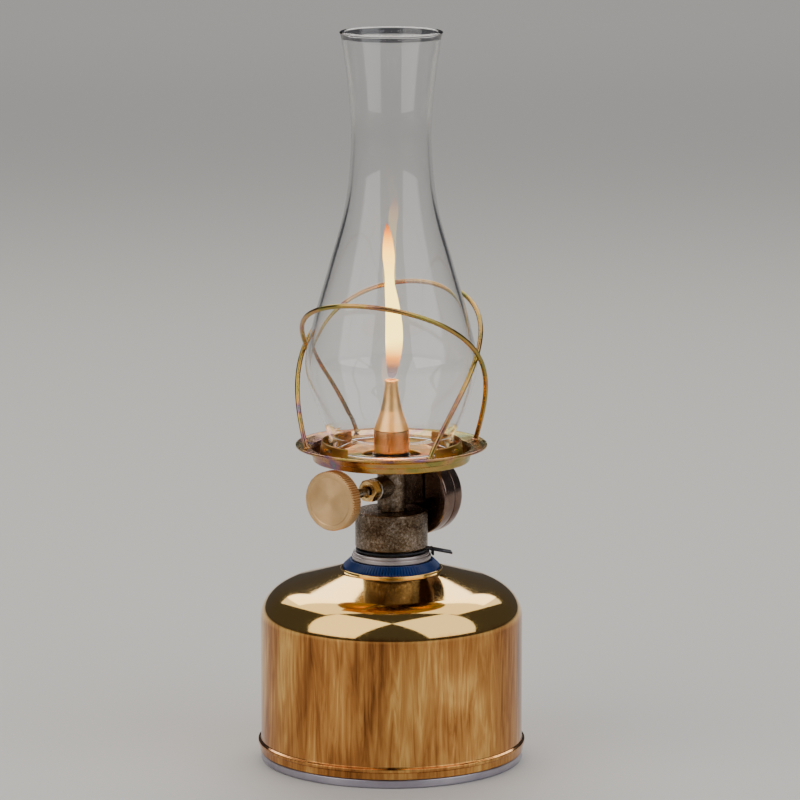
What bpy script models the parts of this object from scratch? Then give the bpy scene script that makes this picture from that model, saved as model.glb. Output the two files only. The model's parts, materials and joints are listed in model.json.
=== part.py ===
"""Gas-cartridge candle lamp with a polished brass cover, a glass chimney and a two-hoop wire guard.

Units are metres and +Z is up. The origin is the centre of the face that stands on the table.
The lamp's axis is Z. The control knob points to the front left, the regulator to the back right.
"""

import math

import bmesh
import bpy
from mathutils import Matrix, Vector

MM = 0.001

# ---------------------------------------------------------------------------------------------
# Clearances
# ---------------------------------------------------------------------------------------------
GAP = 0.3 * MM                      # between pieces that touch or screw together
COVER_CLEARANCE = 0.5 * MM          # between the loose cover and the cartridge wall
GLASS_CLEARANCE = 0.5 * MM          # between the glass foot and its seat
GUARD_CLEARANCE = 0.65 * MM          # between the widest part of the glass and the guard wires

# ---------------------------------------------------------------------------------------------
# Gas cartridge
# ---------------------------------------------------------------------------------------------
CARTRIDGE_RADIUS = 45.0 * MM
CARTRIDGE_WALL = 0.5 * MM
SEAM_OVERHANG = 1.0 * MM
SEAM_HEIGHT = 3.0 * MM
BASE_DOME = 9.0 * MM
BASE_SHEET = 0.6 * MM
WALL_TOP_Z = 49.5 * MM               # where the can's wall turns into its shoulder
SHOULDER_RISE = 11.7 * MM
SHOULDER_INSET = 10.8 * MM
CROWN_RISE = 3.4 * MM               # from the shoulder's top to the foot of the neck
NECK_RADIUS = 13.3 * MM
NECK_HEIGHT = 5.0 * MM

CURL_OVERHANG = 0.55 * MM
CURL_HEIGHT = 2.8 * MM
CUP_SHEET = 0.6 * MM
CUP_DEPTH = 5.5 * MM                # below the neck's top
CUP_STUD_HEIGHT = 6.0 * MM
STUD_WALL = 1.5 * MM
THREAD_RADIUS = 5.45 * MM           # 7/16 inch thread, drawn plain

HOUSING_RADIUS = 6.4 * MM
HOUSING_WALL = 0.8 * MM
HOUSING_DEPTH = 13.0 * MM
STEM_RADIUS = 1.5 * MM
STEM_FLANGE_RADIUS = 3.6 * MM
STEM_TRAVEL = 0.8 * MM
SEAL_THICKNESS = 1.6 * MM

# ---------------------------------------------------------------------------------------------
# Brass cover and its centring ring
# ---------------------------------------------------------------------------------------------
COVER_SHEET = 0.5 * MM
COVER_SHOULDER_LIFT = 1.2 * MM      # above the can's own shoulder
COVER_SHOULDER_RISE = 12.7 * MM
COVER_SHOULDER_WIDTH = 16.0 * MM
COVER_SHOULDER_SWEEP = 75.0         # degrees of the shoulder's quarter ellipse
COVER_NECK_HEIGHT = 0.9 * MM
COVER_NECK_DROP = 2.5 * MM          # the cover's top is this far below the cartridge neck's
BEAD_Z = 6.4 * MM
BEAD_HEIGHT = 1.3 * MM
BEAD_OVERHANG = 1.05 * MM
HEM_OVERHANG = 0.4 * MM

GROMMET_WIDTH = 4.1 * MM            # between the cartridge's neck and the cover's
GROMMET_RISE = 2.2 * MM             # of its ribbed slope above the cover's neck
GROMMET_SKIRT_WALL = 1.2 * MM
GROMMET_SKIRT_DEPTH = 2.5 * MM

# ---------------------------------------------------------------------------------------------
# Valve body
# ---------------------------------------------------------------------------------------------
BODY_OVERHANG = 1.85 * MM           # over the spigot that enters the cup
BODY_LIFT = 1.6 * MM                # above the cartridge's rolled rim
BODY_HEIGHT = 13.1 * MM
BODY_EDGE = 0.8 * MM
SPIGOT_CLEARANCE = 0.7 * MM
COLUMN_RADIUS = 5.0 * MM
COLUMN_HEIGHT = 17.1 * MM
STUD_RADIUS = 4.4 * MM
STUD_LENGTH = 8.2 * MM
GASKET_THICKNESS = 0.9 * MM
INLET_RADIUS = 2.6 * MM
PASSAGE_RADIUS = 1.2 * MM
PIN_RADIUS = 1.1 * MM
PIN_BORE = 0.45 * MM
FILTER_LENGTH = 3.5 * MM

# ---------------------------------------------------------------------------------------------
# Control knob, on an axis that points to the front left
# ---------------------------------------------------------------------------------------------
KNOB_AZIMUTH = 234.3                # degrees from +X
KNOB_LIFT = 8.7 * MM                # above the body's lower cylinder
KNOB_RADIUS = 10.36 * MM
KNOB_THICKNESS = 4.9 * MM
KNOB_STANDOFF = 5.5 * MM            # of the knob's back from the plate's floor
KNOB_CHAMFER = 0.5 * MM
HUB_RADIUS = 3.5 * MM
HUB_LENGTH = 3.0 * MM
SPINDLE_RADIUS = 1.6 * MM
SPINDLE_TIP = 2.0 * MM
O_RING_WIDTH = 0.8 * MM
BOSS_FACE = 9.8 * MM
GLAND_WALL = 0.9 * MM
GLAND_DEPTH = 2.2 * MM
WASHER_THICKNESS = 0.8 * MM
GLAND_NUT_FLATS = 7.0 * MM
GLAND_NUT_LENGTH = 3.5 * MM
GLAND_NUT_RECESS = 0.7 * MM         # round the spindle, in the nut's mouth
GRUB_RADIUS = 0.85 * MM

# ---------------------------------------------------------------------------------------------
# Pressure regulator, on an axis that points to the back right
# ---------------------------------------------------------------------------------------------
REGULATOR_AZIMUTH = 56.0
REGULATOR_LIFT = 2.7 * MM           # its axis above the body's lower cylinder
REGULATOR_RADIUS = 14.2 * MM
REGULATOR_WALL = 1.0 * MM
REGULATOR_CLEARANCE = 0.55 * MM     # between its face and the body's lower cylinder
REGULATOR_FRONT_DEPTH = 5.7 * MM
REGULATOR_BACK_DEPTH = 6.1 * MM
REGULATOR_ROUNDING = 2.6 * MM
LUG_HALF_WIDTH = 4.7 * MM
LUG_LIFT = 1.7 * MM
LUG_TOP_DROP = 1.2 * MM
PORT_LIFT = 5.7 * MM
PORT_RADIUS = 2.4 * MM
PORT_LENGTH = 2.0 * MM
DIAPHRAGM_THICKNESS = 0.6 * MM
PLUNGER_RADIUS = 1.2 * MM
PLUNGER_FLANGE = 4.6 * MM
PLUNGER_TRAVEL = 0.5 * MM

# ---------------------------------------------------------------------------------------------
# Burner plate, glass seat, burner
# ---------------------------------------------------------------------------------------------
PLATE_SHEET = 0.8 * MM
PLATE_FLOOR_MARGIN = 2.1 * MM       # floor outside the glass seat's ridge
PLATE_SLOPE_WIDTH = 7.3 * MM
PLATE_STEP_WIDTH = 4.9 * MM
PLATE_STEP_HEIGHT = 4.2 * MM
PLATE_LIP_HEIGHT = 6.1 * MM

SEAT_SHEET = 0.8 * MM
SEAT_FLOOR_HEIGHT = 4.1 * MM        # above the plate's underside
SEAT_RIDGE_HEIGHT = 3.4 * MM
SEAT_GAP = 30.0 * MM                # openings in the ridge at the front and the back
SEAT_PLAY = 1.7 * MM                # sideways play of the glass foot in its seat
SEAT_HOLE_MARGIN = 1.7 * MM         # hole in the seat, round the plate washer

NUT_FLATS = 13.0 * MM
NUT_THICKNESS = 1.9 * MM
PLATE_WASHER_RADIUS = 8.4 * MM
PLATE_WASHER_THICKNESS = 0.7 * MM

BURNER_RADIUS = 6.15 * MM
BURNER_BASE_HEIGHT = 6.8 * MM
CONE_HEIGHT = 17.2 * MM
CONE_TOP_RADIUS = 2.25 * MM
CONE_WALL = 0.6 * MM
CONE_FLARE = 1.8                    # how strongly the cone flares towards its foot
JET_RADIUS = 2.2 * MM
JET_LENGTH = 3.0 * MM
JET_HOLE = 0.3 * MM

# ---------------------------------------------------------------------------------------------
# Glass chimney and wire guard
# ---------------------------------------------------------------------------------------------
GLASS_FOOT_RADIUS = 22.0 * MM
GLASS_BULGE_RADIUS = 30.0 * MM
GLASS_THROAT_RADIUS = 13.9 * MM
GLASS_RIM_RADIUS = 17.6 * MM
GLASS_HEIGHT = 145.7 * MM
GLASS_WALL = 1.3 * MM
GLASS_RIM_BEAD = 0.4 * MM

WIRE_RADIUS = 0.85 * MM
HOOP_AZIMUTH = 246.0                # direction in which the first hoop leans
HOOP_HALF_SPREAD = 130.0            # degrees from that direction to each foot
HOOP_FOOT_INSET = 3.1 * MM          # from the plate's lip
HOOP_RISE = 53.8 * MM               # above the plate's lip
HOOP_FULLNESS = 0.80                # 0.5 would give a half ellipse
HOOP_BELLY = 3.35 * MM
HOOP_TILT = 2.9 * MM                # the outer leg's bend stands this much above the inner leg's
HOOP_POINTS = 30

# ---------------------------------------------------------------------------------------------
# Tabbed washer between the cartridge's rim and the valve body
# ---------------------------------------------------------------------------------------------
TAB_AZIMUTH = 8.0
TAB_DROOP = 12.0                    # degrees that the arm slopes down
TAB_WIDTH = 4.5 * MM
TAB_SHEET = 0.7 * MM
TAB_REACH = 21.5 * MM
TAB_LEG_DEPTH = 2.6 * MM

LARGE_SEGMENTS = 36
MEDIUM_SEGMENTS = 24
SMALL_SEGMENTS = 16

# ---------------------------------------------------------------------------------------------
# Sizes that follow from the ones above, from the table up
# ---------------------------------------------------------------------------------------------
SEAM_RADIUS = CARTRIDGE_RADIUS + SEAM_OVERHANG
SHOULDER_TOP_Z = WALL_TOP_Z + SHOULDER_RISE
NECK_TOP_Z = SHOULDER_TOP_Z + CROWN_RISE + NECK_HEIGHT + 1.3 * MM
CURL_RADIUS = NECK_RADIUS + CURL_OVERHANG
CURL_BOTTOM_Z = NECK_TOP_Z + GAP
CURL_TOP_Z = CURL_BOTTOM_Z + CURL_HEIGHT
CUP_RADIUS = NECK_RADIUS - CARTRIDGE_WALL - 2 * GAP
CUP_FLOOR_Z = NECK_TOP_Z - CUP_DEPTH
STUD_TOP_Z = CUP_FLOOR_Z + CUP_STUD_HEIGHT
THREAD_BORE = THREAD_RADIUS + GAP
STUD_OUTER_RADIUS = THREAD_BORE + STUD_WALL
HOUSING_TOP_Z = CUP_FLOOR_Z - GAP
SEAL_BOTTOM_Z = HOUSING_TOP_Z - SEAL_THICKNESS

COVER_RADIUS = CARTRIDGE_RADIUS + COVER_CLEARANCE + COVER_SHEET
COVER_SHOULDER_Z = WALL_TOP_Z + COVER_SHOULDER_LIFT
COVER_NECK_RADIUS = NECK_RADIUS + GROMMET_WIDTH + GAP
COVER_TOP_Z = NECK_TOP_Z - COVER_NECK_DROP
COVER_NECK_Z = COVER_TOP_Z - COVER_NECK_HEIGHT
GROMMET_RADIUS = COVER_NECK_RADIUS - COVER_SHEET - GAP

BODY_BOTTOM_Z = CURL_TOP_Z + BODY_LIFT
BODY_TOP_Z = BODY_BOTTOM_Z + BODY_HEIGHT
COLUMN_TOP_Z = BODY_TOP_Z + COLUMN_HEIGHT
STUD_TOP = COLUMN_TOP_Z + STUD_LENGTH
SPIGOT_RADIUS = CUP_RADIUS - CUP_SHEET - SPIGOT_CLEARANCE
BODY_RADIUS = SPIGOT_RADIUS + BODY_OVERHANG
NOSE_BOTTOM_Z = CUP_FLOOR_Z + 1.2 * MM
NOSE_TOP_Z = STUD_TOP_Z + GASKET_THICKNESS + 2 * GAP
PIN_FLANGE_Z = NOSE_BOTTOM_Z + 3.4 * MM
FILTER_Z = PIN_FLANGE_Z + 1.0 * MM + GAP

KNOB_Z = BODY_TOP_Z + KNOB_LIFT
SPINDLE_BORE = SPINDLE_RADIUS + GAP
GLAND_BORE = SPINDLE_BORE + O_RING_WIDTH + GAP
BOSS_RADIUS = GLAND_BORE + GLAND_WALL
GLAND_NUT_MOUTH = SPINDLE_RADIUS + GLAND_NUT_RECESS
NEEDLE_SEAT = PASSAGE_RADIUS + 0.5 * MM
WASHER_FACE = BOSS_FACE + GAP
NUT_FACE = WASHER_FACE + WASHER_THICKNESS + GAP
NUT_END = NUT_FACE + GLAND_NUT_LENGTH

REGULATOR_Z = BODY_TOP_Z + REGULATOR_LIFT
REGULATOR_FACE = BODY_RADIUS + REGULATOR_CLEARANCE
REGULATOR_SPLIT = REGULATOR_FACE + REGULATOR_FRONT_DEPTH
REGULATOR_BACK = REGULATOR_SPLIT + GAP + REGULATOR_BACK_DEPTH
LUG_BOTTOM_Z = BODY_TOP_Z + LUG_LIFT
LUG_TOP_Z = COLUMN_TOP_Z - LUG_TOP_DROP
PORT_Z = BODY_TOP_Z + PORT_LIFT

PLATE_BOTTOM_Z = COLUMN_TOP_Z + GAP
PLATE_FLOOR_Z = PLATE_BOTTOM_Z + PLATE_SHEET
PLATE_STEP_Z = PLATE_BOTTOM_Z + PLATE_STEP_HEIGHT
PLATE_LIP_Z = PLATE_BOTTOM_Z + PLATE_LIP_HEIGHT
SEAT_RIDGE_RADIUS = GLASS_FOOT_RADIUS + SEAT_PLAY + SEAT_SHEET / 2
PLATE_FLOOR_RADIUS = SEAT_RIDGE_RADIUS + PLATE_FLOOR_MARGIN
PLATE_RADIUS = PLATE_FLOOR_RADIUS + PLATE_SLOPE_WIDTH
PLATE_STEP_RADIUS = PLATE_RADIUS - PLATE_STEP_WIDTH
KNOB_BACK = PLATE_FLOOR_RADIUS + KNOB_STANDOFF
KNOB_FACE = KNOB_BACK + KNOB_THICKNESS
HUB_END = KNOB_BACK - HUB_LENGTH
SEAT_FLOOR_Z = PLATE_BOTTOM_Z + SEAT_FLOOR_HEIGHT
SEAT_RIDGE_Z = SEAT_FLOOR_Z + SEAT_RIDGE_HEIGHT
SEAT_HOLE_RADIUS = PLATE_WASHER_RADIUS + SEAT_HOLE_MARGIN
PLATE_WASHER_Z = PLATE_FLOOR_Z + GAP
NUT_Z = PLATE_WASHER_Z + PLATE_WASHER_THICKNESS + GAP
BURNER_Z = NUT_Z + NUT_THICKNESS + GAP
CONE_Z = BURNER_Z + BURNER_BASE_HEIGHT + GAP
CONE_TOP_Z = CONE_Z + CONE_HEIGHT
JET_Z = STUD_TOP + GAP

GLASS_BOTTOM_Z = SEAT_FLOOR_Z + GLASS_CLEARANCE
GLASS_TOP_Z = GLASS_BOTTOM_Z + GLASS_HEIGHT
HOOP_TOP_RADIUS = GLASS_BULGE_RADIUS + GUARD_CLEARANCE + WIRE_RADIUS
HOOP_STAGGER = 2 * WIRE_RADIUS + GAP
HOOP_FOOT_RADIUS = PLATE_RADIUS - HOOP_FOOT_INSET
HOOP_TOP_Z = PLATE_LIP_Z + HOOP_RISE


# ---------------------------------------------------------------------------------------------
# Scene, materials and frames
# ---------------------------------------------------------------------------------------------
def clear_scene():
    """Remove every object and material that is already there."""
    for old in list(bpy.data.objects):
        bpy.data.objects.remove(old, do_unlink=True)
    for old in list(bpy.data.materials):
        bpy.data.materials.remove(old)


def new_collection(name):
    """Return a new collection linked to the scene."""
    collection = bpy.data.collections.new(name)
    bpy.context.scene.collection.children.link(collection)
    return collection


def material(name, colour, metallic, roughness, transmission=0.0):
    """Return a Principled material with the given look."""
    made = bpy.data.materials.new(name)
    made.use_nodes = True
    shader = made.node_tree.nodes["Principled BSDF"]
    shader.inputs["Base Color"].default_value = (*colour, 1.0)
    shader.inputs["Metallic"].default_value = metallic
    shader.inputs["Roughness"].default_value = roughness
    shader.inputs["Transmission Weight"].default_value = transmission
    made.diffuse_color = (*colour, 1.0)
    return made


def direction(azimuth):
    """Return the horizontal unit vector at an azimuth in degrees."""
    angle = math.radians(azimuth)
    return Vector((math.cos(angle), math.sin(angle), 0.0))


def side_frame(azimuth, height):
    """Return the frame whose local Z is horizontal at an azimuth, and whose local Y is up."""
    outward = direction(azimuth)
    upward = Vector((0.0, 0.0, 1.0))
    across = upward.cross(outward)
    frame = Matrix((across, upward, outward)).transposed().to_4x4()
    frame.translation = Vector((0.0, 0.0, height))
    return frame


clear_scene()
LAMP = new_collection("gas_candle_lamp")
CUTTERS = new_collection("cutters")
UPRIGHT = Matrix.Identity(4)
KNOB_FRAME = side_frame(KNOB_AZIMUTH, KNOB_Z)
REGULATOR_FRAME = side_frame(REGULATOR_AZIMUTH, REGULATOR_Z)
PORT_FRAME = side_frame(REGULATOR_AZIMUTH, PORT_Z)

STEEL = dict(colour=(0.52, 0.50, 0.48), metallic=1.0, roughness=0.3)
BRASS = dict(colour=(0.86, 0.62, 0.25), metallic=1.0, roughness=0.12)
RUBBER = dict(colour=(0.03, 0.03, 0.03), metallic=0.0, roughness=0.7)
ZINC = dict(colour=(0.72, 0.60, 0.32), metallic=1.0, roughness=0.28)
NICKEL = dict(colour=(0.36, 0.33, 0.28), metallic=1.0, roughness=0.35)


# ---------------------------------------------------------------------------------------------
# Shapes
# ---------------------------------------------------------------------------------------------
def link(obj, look, cutter=False):
    """Put an object in its collection and give it its material."""
    (CUTTERS if cutter else LAMP).objects.link(obj)
    if cutter:
        obj.hide_render = True
        obj.display_type = "WIRE"
    else:
        obj.data.materials.append(material(obj.name, **look))
    return obj


def smooth(mesh):
    """Shade a mesh smooth with its sharp edges kept."""
    mesh.shade_smooth()
    mesh.set_sharp_from_angle(angle=math.radians(32.0))


def turned(name, outline, look, frame=UPRIGHT, segments=MEDIUM_SEGMENTS, ring=True, cutter=False):
    """Turn an outline of (radius, height) points about the frame's Z.

    The outline runs down its outer side. A ring's outline is a closed loop; any other outline
    starts and ends on the axis.
    """
    mesh = bpy.data.meshes.new(name)
    count = len(outline)
    edges = [(i, i + 1) for i in range(count - 1)]
    if ring:
        edges.append((count - 1, 0))
    mesh.from_pydata([(radius, 0.0, height) for radius, height in outline], edges, [])
    obj = link(bpy.data.objects.new(name, mesh), look, cutter)
    obj.matrix_world = frame
    add_screw(obj, segments)
    return obj


def add_screw(obj, segments):
    """Add the Screw modifier that turns a profile all the way round."""
    screw = obj.modifiers.new("Screw", "SCREW")
    screw.axis = "Z"
    screw.steps = segments
    screw.render_steps = segments
    screw.use_merge_vertices = True
    screw.merge_threshold = 0.00001
    screw.use_smooth_shade = True
    return screw


def sheet(name, outline, thickness, look, frame=UPRIGHT, segments=LARGE_SEGMENTS):
    """Turn an open outline and thicken it inwards, as a spun or pressed sheet."""
    mesh = bpy.data.meshes.new(name)
    edges = [(i, i + 1) for i in range(len(outline) - 1)]
    mesh.from_pydata([(radius, 0.0, height) for radius, height in outline], edges, [])
    obj = link(bpy.data.objects.new(name, mesh), look)
    obj.matrix_world = frame
    add_screw(obj, segments)
    solid = obj.modifiers.new("Sheet", "SOLIDIFY")
    solid.thickness = thickness
    solid.offset = -1.0
    solid.use_even_offset = True
    return obj


def rod(name, radius, bottom, top, look=None, frame=UPRIGHT, segments=SMALL_SEGMENTS, cutter=False):
    """Make a plain cylinder along the frame's Z."""
    return primitive(name, radius, bottom, top, look, frame, segments, cutter)


def primitive(name, radius, bottom, top, look, frame, segments, cutter):
    """Make a cylinder or a prism from bmesh's cone operator."""
    shape = bmesh.new()
    bmesh.ops.create_cone(shape, cap_ends=True, segments=segments, radius1=radius, radius2=radius,
                          depth=top - bottom, matrix=Matrix.Translation((0, 0, (top + bottom) / 2)))
    mesh = bpy.data.meshes.new(name)
    shape.to_mesh(mesh)
    shape.free()
    obj = link(bpy.data.objects.new(name, mesh), look, cutter)
    obj.matrix_world = frame
    smooth(mesh)
    return obj


def hexagon(name, flats, bottom, top, look, frame=UPRIGHT, edge=0.3 * MM):
    """Make a hexagonal prism with bevelled edges along the frame's Z."""
    corner = flats / 2 / math.cos(math.radians(30.0))
    obj = primitive(name, corner, bottom, top, look, frame, 6, False)
    bevel = obj.modifiers.new("Bevel", "BEVEL")
    bevel.width = edge
    bevel.segments = 1
    bevel.limit_method = "ANGLE"
    bevel.angle_limit = math.radians(70.0)
    return obj


def block(name, size, centre, frame, look=None, cutter=False):
    """Make a box of the given size round a point of the frame."""
    shape = bmesh.new()
    bmesh.ops.create_cube(shape, size=1.0)
    bmesh.ops.scale(shape, vec=size, verts=shape.verts)
    bmesh.ops.translate(shape, vec=centre, verts=shape.verts)
    mesh = bpy.data.meshes.new(name)
    shape.to_mesh(mesh)
    shape.free()
    obj = link(bpy.data.objects.new(name, mesh), look, cutter)
    obj.matrix_world = frame
    return obj


def wire(name, points, radius, look, frame=UPRIGHT):
    """Make a round wire with capped ends through a list of points."""
    curve = bpy.data.curves.new(name, "CURVE")
    curve.dimensions = "3D"
    curve.bevel_depth = radius
    curve.bevel_resolution = 2
    curve.use_fill_caps = True
    spline = curve.splines.new("POLY")
    spline.points.add(len(points) - 1)
    for place, point in zip(spline.points, points):
        place.co = (*point, 1.0)
    obj = link(bpy.data.objects.new(name, curve), look)
    obj.matrix_world = frame
    return obj


def spring(name, radius, thickness, bottom, top, turns, look, frame=UPRIGHT):
    """Make a compression spring between two heights of the frame."""
    steps = 10 * turns
    low = bottom + thickness / 2
    high = top - thickness / 2
    points = []
    for i in range(steps + 1):
        angle = math.tau * turns * i / steps
        height = low + (high - low) * i / steps
        points.append((radius * math.cos(angle), radius * math.sin(angle), height))
    return wire(name, points, thickness / 2, look, frame)


def cut(obj, tool):
    """Cut a tool out of an object."""
    return combine(obj, tool, "DIFFERENCE")


def join(obj, tool):
    """Join a tool to an object."""
    return combine(obj, tool, "UNION")


def combine(obj, tool, operation):
    """Add a Boolean modifier with the exact solver."""
    modifier = obj.modifiers.new(tool.name, "BOOLEAN")
    modifier.operation = operation
    modifier.solver = "EXACT"
    modifier.object = tool
    return obj


def arc(centre, radii, start, end, steps):
    """Return points of an elliptic arc, with angles in degrees from +X."""
    points = []
    for i in range(steps + 1):
        angle = math.radians(start + (end - start) * i / steps)
        points.append((centre[0] + radii[0] * math.cos(angle), centre[1] + radii[1] * math.sin(angle)))
    return points


def smooth_outline(knots, steps):
    """Return a smooth outline through the knots, by Catmull-Rom interpolation."""
    ends = [knots[0]] + list(knots) + [knots[-1]]
    points = []
    for before, first, second, after in zip(ends, ends[1:], ends[2:], ends[3:]):
        for i in range(steps):
            t = i / steps
            points.append(tuple(
                0.5 * (2 * b + (c - a) * t + (2 * a - 5 * b + 4 * c - d) * t ** 2
                       + (3 * b - a - 3 * c + d) * t ** 3)
                for a, b, c, d in zip(before, first, second, after)))
    points.append(knots[-1])
    return points


# ---------------------------------------------------------------------------------------------
# Gas cartridge
# ---------------------------------------------------------------------------------------------
def make_cartridge_shell():
    """Drawn steel can: neck, shoulder and wall down to the seam."""
    shoulder = arc((CARTRIDGE_RADIUS - SHOULDER_INSET, WALL_TOP_Z),
                   (SHOULDER_INSET, SHOULDER_RISE), 82.0, 0.0, 4)
    crown_z = SHOULDER_TOP_Z + CROWN_RISE
    outline = [(NECK_RADIUS, NECK_TOP_Z), (NECK_RADIUS, NECK_TOP_Z - 3.3 * MM),
               (NECK_RADIUS + 1.3 * MM, NECK_TOP_Z - NECK_HEIGHT), (NECK_RADIUS + 5.7 * MM, crown_z)]
    outline += shoulder + [(CARTRIDGE_RADIUS, SEAM_HEIGHT + GAP)]
    return sheet("cartridge_shell", outline, CARTRIDGE_WALL, STEEL)


def make_cartridge_base():
    """Concave bottom with the rolled seam that the lamp stands on."""
    plug = CARTRIDGE_RADIUS - CARTRIDGE_WALL - GAP
    foot_top = 2.6 * MM
    dish = [(plug * 0.5, BASE_DOME - 0.8 * MM), (plug * 0.86, BASE_DOME - 3.2 * MM),
            (plug - 1.6 * MM, BASE_DOME - 4.2 * MM)]
    outline = [(0.0, BASE_DOME + BASE_SHEET)]
    outline += [(radius, height + BASE_SHEET) for radius, height in dish]
    outline += [(plug, foot_top + 3.2 * MM), (plug, SEAM_HEIGHT)]
    outline += [(SEAM_RADIUS - 0.7 * MM, SEAM_HEIGHT), (SEAM_RADIUS, foot_top - 0.3 * MM)]
    outline += [(SEAM_RADIUS, 0.9 * MM), (SEAM_RADIUS - 0.8 * MM, 0.0), (SEAM_RADIUS - 1.9 * MM, 0.0),
                (SEAM_RADIUS - 2.5 * MM, 0.6 * MM), (SEAM_RADIUS - 2.5 * MM, foot_top + 1.4 * MM)]
    outline += [(radius, height) for radius, height in reversed(dish)]
    outline += [(0.0, BASE_DOME)]
    return turned("cartridge_base", outline, STEEL, segments=LARGE_SEGMENTS, ring=False)


def make_valve_cup():
    """Pressed cup crimped to the cartridge neck, with the threaded stud in its middle."""
    ridge = CURL_HEIGHT / 4
    middle = (CURL_BOTTOM_Z + CURL_TOP_Z) / 2
    inner = CUP_RADIUS - CUP_SHEET
    outline = [(CURL_RADIUS - 1.4 * MM, CURL_TOP_Z), (CURL_RADIUS - 0.45 * MM, CURL_TOP_Z - 0.2 * MM),
               (CURL_RADIUS, middle + ridge), (CURL_RADIUS - 0.2 * MM, middle),
               (CURL_RADIUS, middle - ridge), (CURL_RADIUS - 0.45 * MM, CURL_BOTTOM_Z + 0.1 * MM),
               (CURL_RADIUS - 1.4 * MM, CURL_BOTTOM_Z), (CUP_RADIUS, CURL_BOTTOM_Z),
               (CUP_RADIUS, CUP_FLOOR_Z), (THREAD_BORE, CUP_FLOOR_Z), (THREAD_BORE, STUD_TOP_Z),
               (STUD_OUTER_RADIUS, STUD_TOP_Z), (STUD_OUTER_RADIUS, CUP_FLOOR_Z + CUP_SHEET),
               (inner, CUP_FLOOR_Z + CUP_SHEET), (inner, CURL_TOP_Z - 0.7 * MM),
               (inner + 0.4 * MM, CURL_TOP_Z - 0.1 * MM)]
    return turned("cartridge_valve_cup", outline, STEEL)


def make_valve_housing():
    """Plastic cup under the valve cup that holds the stem, its spring and its seal."""
    inner = HOUSING_RADIUS - HOUSING_WALL
    bottom = HOUSING_TOP_Z - HOUSING_DEPTH
    dip_tube = 1.2 * MM
    outline = [(inner, HOUSING_TOP_Z), (HOUSING_RADIUS, HOUSING_TOP_Z), (HOUSING_RADIUS, bottom),
               (dip_tube, bottom), (dip_tube, bottom + HOUSING_WALL), (inner, bottom + HOUSING_WALL)]
    return turned("cartridge_valve_housing", outline, dict(colour=(0.85, 0.85, 0.82), metallic=0.0,
                                                           roughness=0.5), segments=SMALL_SEGMENTS)


def make_valve_seal():
    """Rubber disc that the stem's flange closes against."""
    outer = HOUSING_RADIUS - HOUSING_WALL - GAP
    inner = STEM_RADIUS + GAP
    outline = [(inner, HOUSING_TOP_Z), (outer, HOUSING_TOP_Z), (outer, SEAL_BOTTOM_Z), (inner, SEAL_BOTTOM_Z)]
    return turned("cartridge_valve_seal", outline, RUBBER, segments=SMALL_SEGMENTS)


def stem_levels():
    """Return the heights of the stem's top, flange top, flange bottom and foot."""
    top = NOSE_BOTTOM_Z - 1.0 * MM - GAP
    flange_top = SEAL_BOTTOM_Z - 1.5 * MM
    flange_bottom = flange_top - 1.0 * MM
    return top, flange_top, flange_bottom, flange_bottom - 2.0 * MM


def make_valve_stem():
    """Sprung stem, held down by the hollow pin while the lamp is screwed on."""
    top, flange_top, flange_bottom, foot = stem_levels()
    outline = [(0.0, top), (STEM_RADIUS, top), (STEM_RADIUS, flange_top),
               (STEM_FLANGE_RADIUS, flange_top), (STEM_FLANGE_RADIUS, flange_bottom),
               (STEM_RADIUS, flange_bottom), (STEM_RADIUS, foot), (0.0, foot)]
    return turned("cartridge_valve_stem", outline, BRASS, segments=SMALL_SEGMENTS, ring=False)


def make_valve_spring():
    """Spring that closes the cartridge valve."""
    bottom = HOUSING_TOP_Z - HOUSING_DEPTH + HOUSING_WALL + GAP
    top = stem_levels()[2] - STEM_TRAVEL - GAP
    return spring("cartridge_valve_spring", 2.6 * MM, 0.5 * MM, bottom, top, 4, STEEL)


# ---------------------------------------------------------------------------------------------
# Cover, centring ring and tabbed washer
# ---------------------------------------------------------------------------------------------
def cover_outline():
    """Return the outside of the cover, from its neck down to its hem."""
    neck_top = (COVER_NECK_RADIUS - 0.2 * MM, COVER_TOP_Z)
    neck = [neck_top, (COVER_NECK_RADIUS, COVER_TOP_Z - 0.4 * MM),
            (COVER_NECK_RADIUS, COVER_NECK_Z + 0.9 * MM),
            (COVER_NECK_RADIUS + 0.6 * MM, COVER_NECK_Z + 0.2 * MM),
            (COVER_NECK_RADIUS + 1.8 * MM, COVER_NECK_Z - 0.1 * MM)]
    shoulder = arc((COVER_RADIUS - COVER_SHOULDER_WIDTH, COVER_SHOULDER_Z),
                   (COVER_SHOULDER_WIDTH, COVER_SHOULDER_RISE), COVER_SHOULDER_SWEEP, 0.0, 6)
    bead = arc((COVER_RADIUS, BEAD_Z), (BEAD_OVERHANG, BEAD_HEIGHT / 2), 90.0, -60.0, 3)
    hem = COVER_RADIUS + HEM_OVERHANG
    return neck + shoulder + bead + [(hem, BEAD_Z - BEAD_HEIGHT), (hem, SEAM_HEIGHT + GAP)]


def make_cover():
    """Spun brass cover, loose over the cartridge."""
    return sheet("canister_cover", cover_outline(), COVER_SHEET, BRASS)


def make_grommet():
    """Blue ring with a ribbed slope, between the cover's neck and the cartridge's."""
    edge = COVER_TOP_Z + 2 * GAP
    top = edge + GROMMET_RISE
    foot = edge - GROMMET_SKIRT_DEPTH
    skirt = GROMMET_RADIUS - GROMMET_SKIRT_WALL
    bore = NECK_RADIUS + GAP
    step = edge - 0.7 * MM
    outline = [(CURL_RADIUS + GAP, top), (CURL_RADIUS + 0.9 * MM, top), (GROMMET_RADIUS, edge),
               (GROMMET_RADIUS, foot), (skirt, foot), (skirt, step), (bore, step),
               (bore, CURL_BOTTOM_Z - GAP), (CURL_RADIUS + GAP, CURL_BOTTOM_Z - GAP)]
    return turned("cover_grommet", outline, dict(colour=(0.02, 0.16, 0.42), metallic=0.0, roughness=0.4),
                  segments=LARGE_SEGMENTS)


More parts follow.
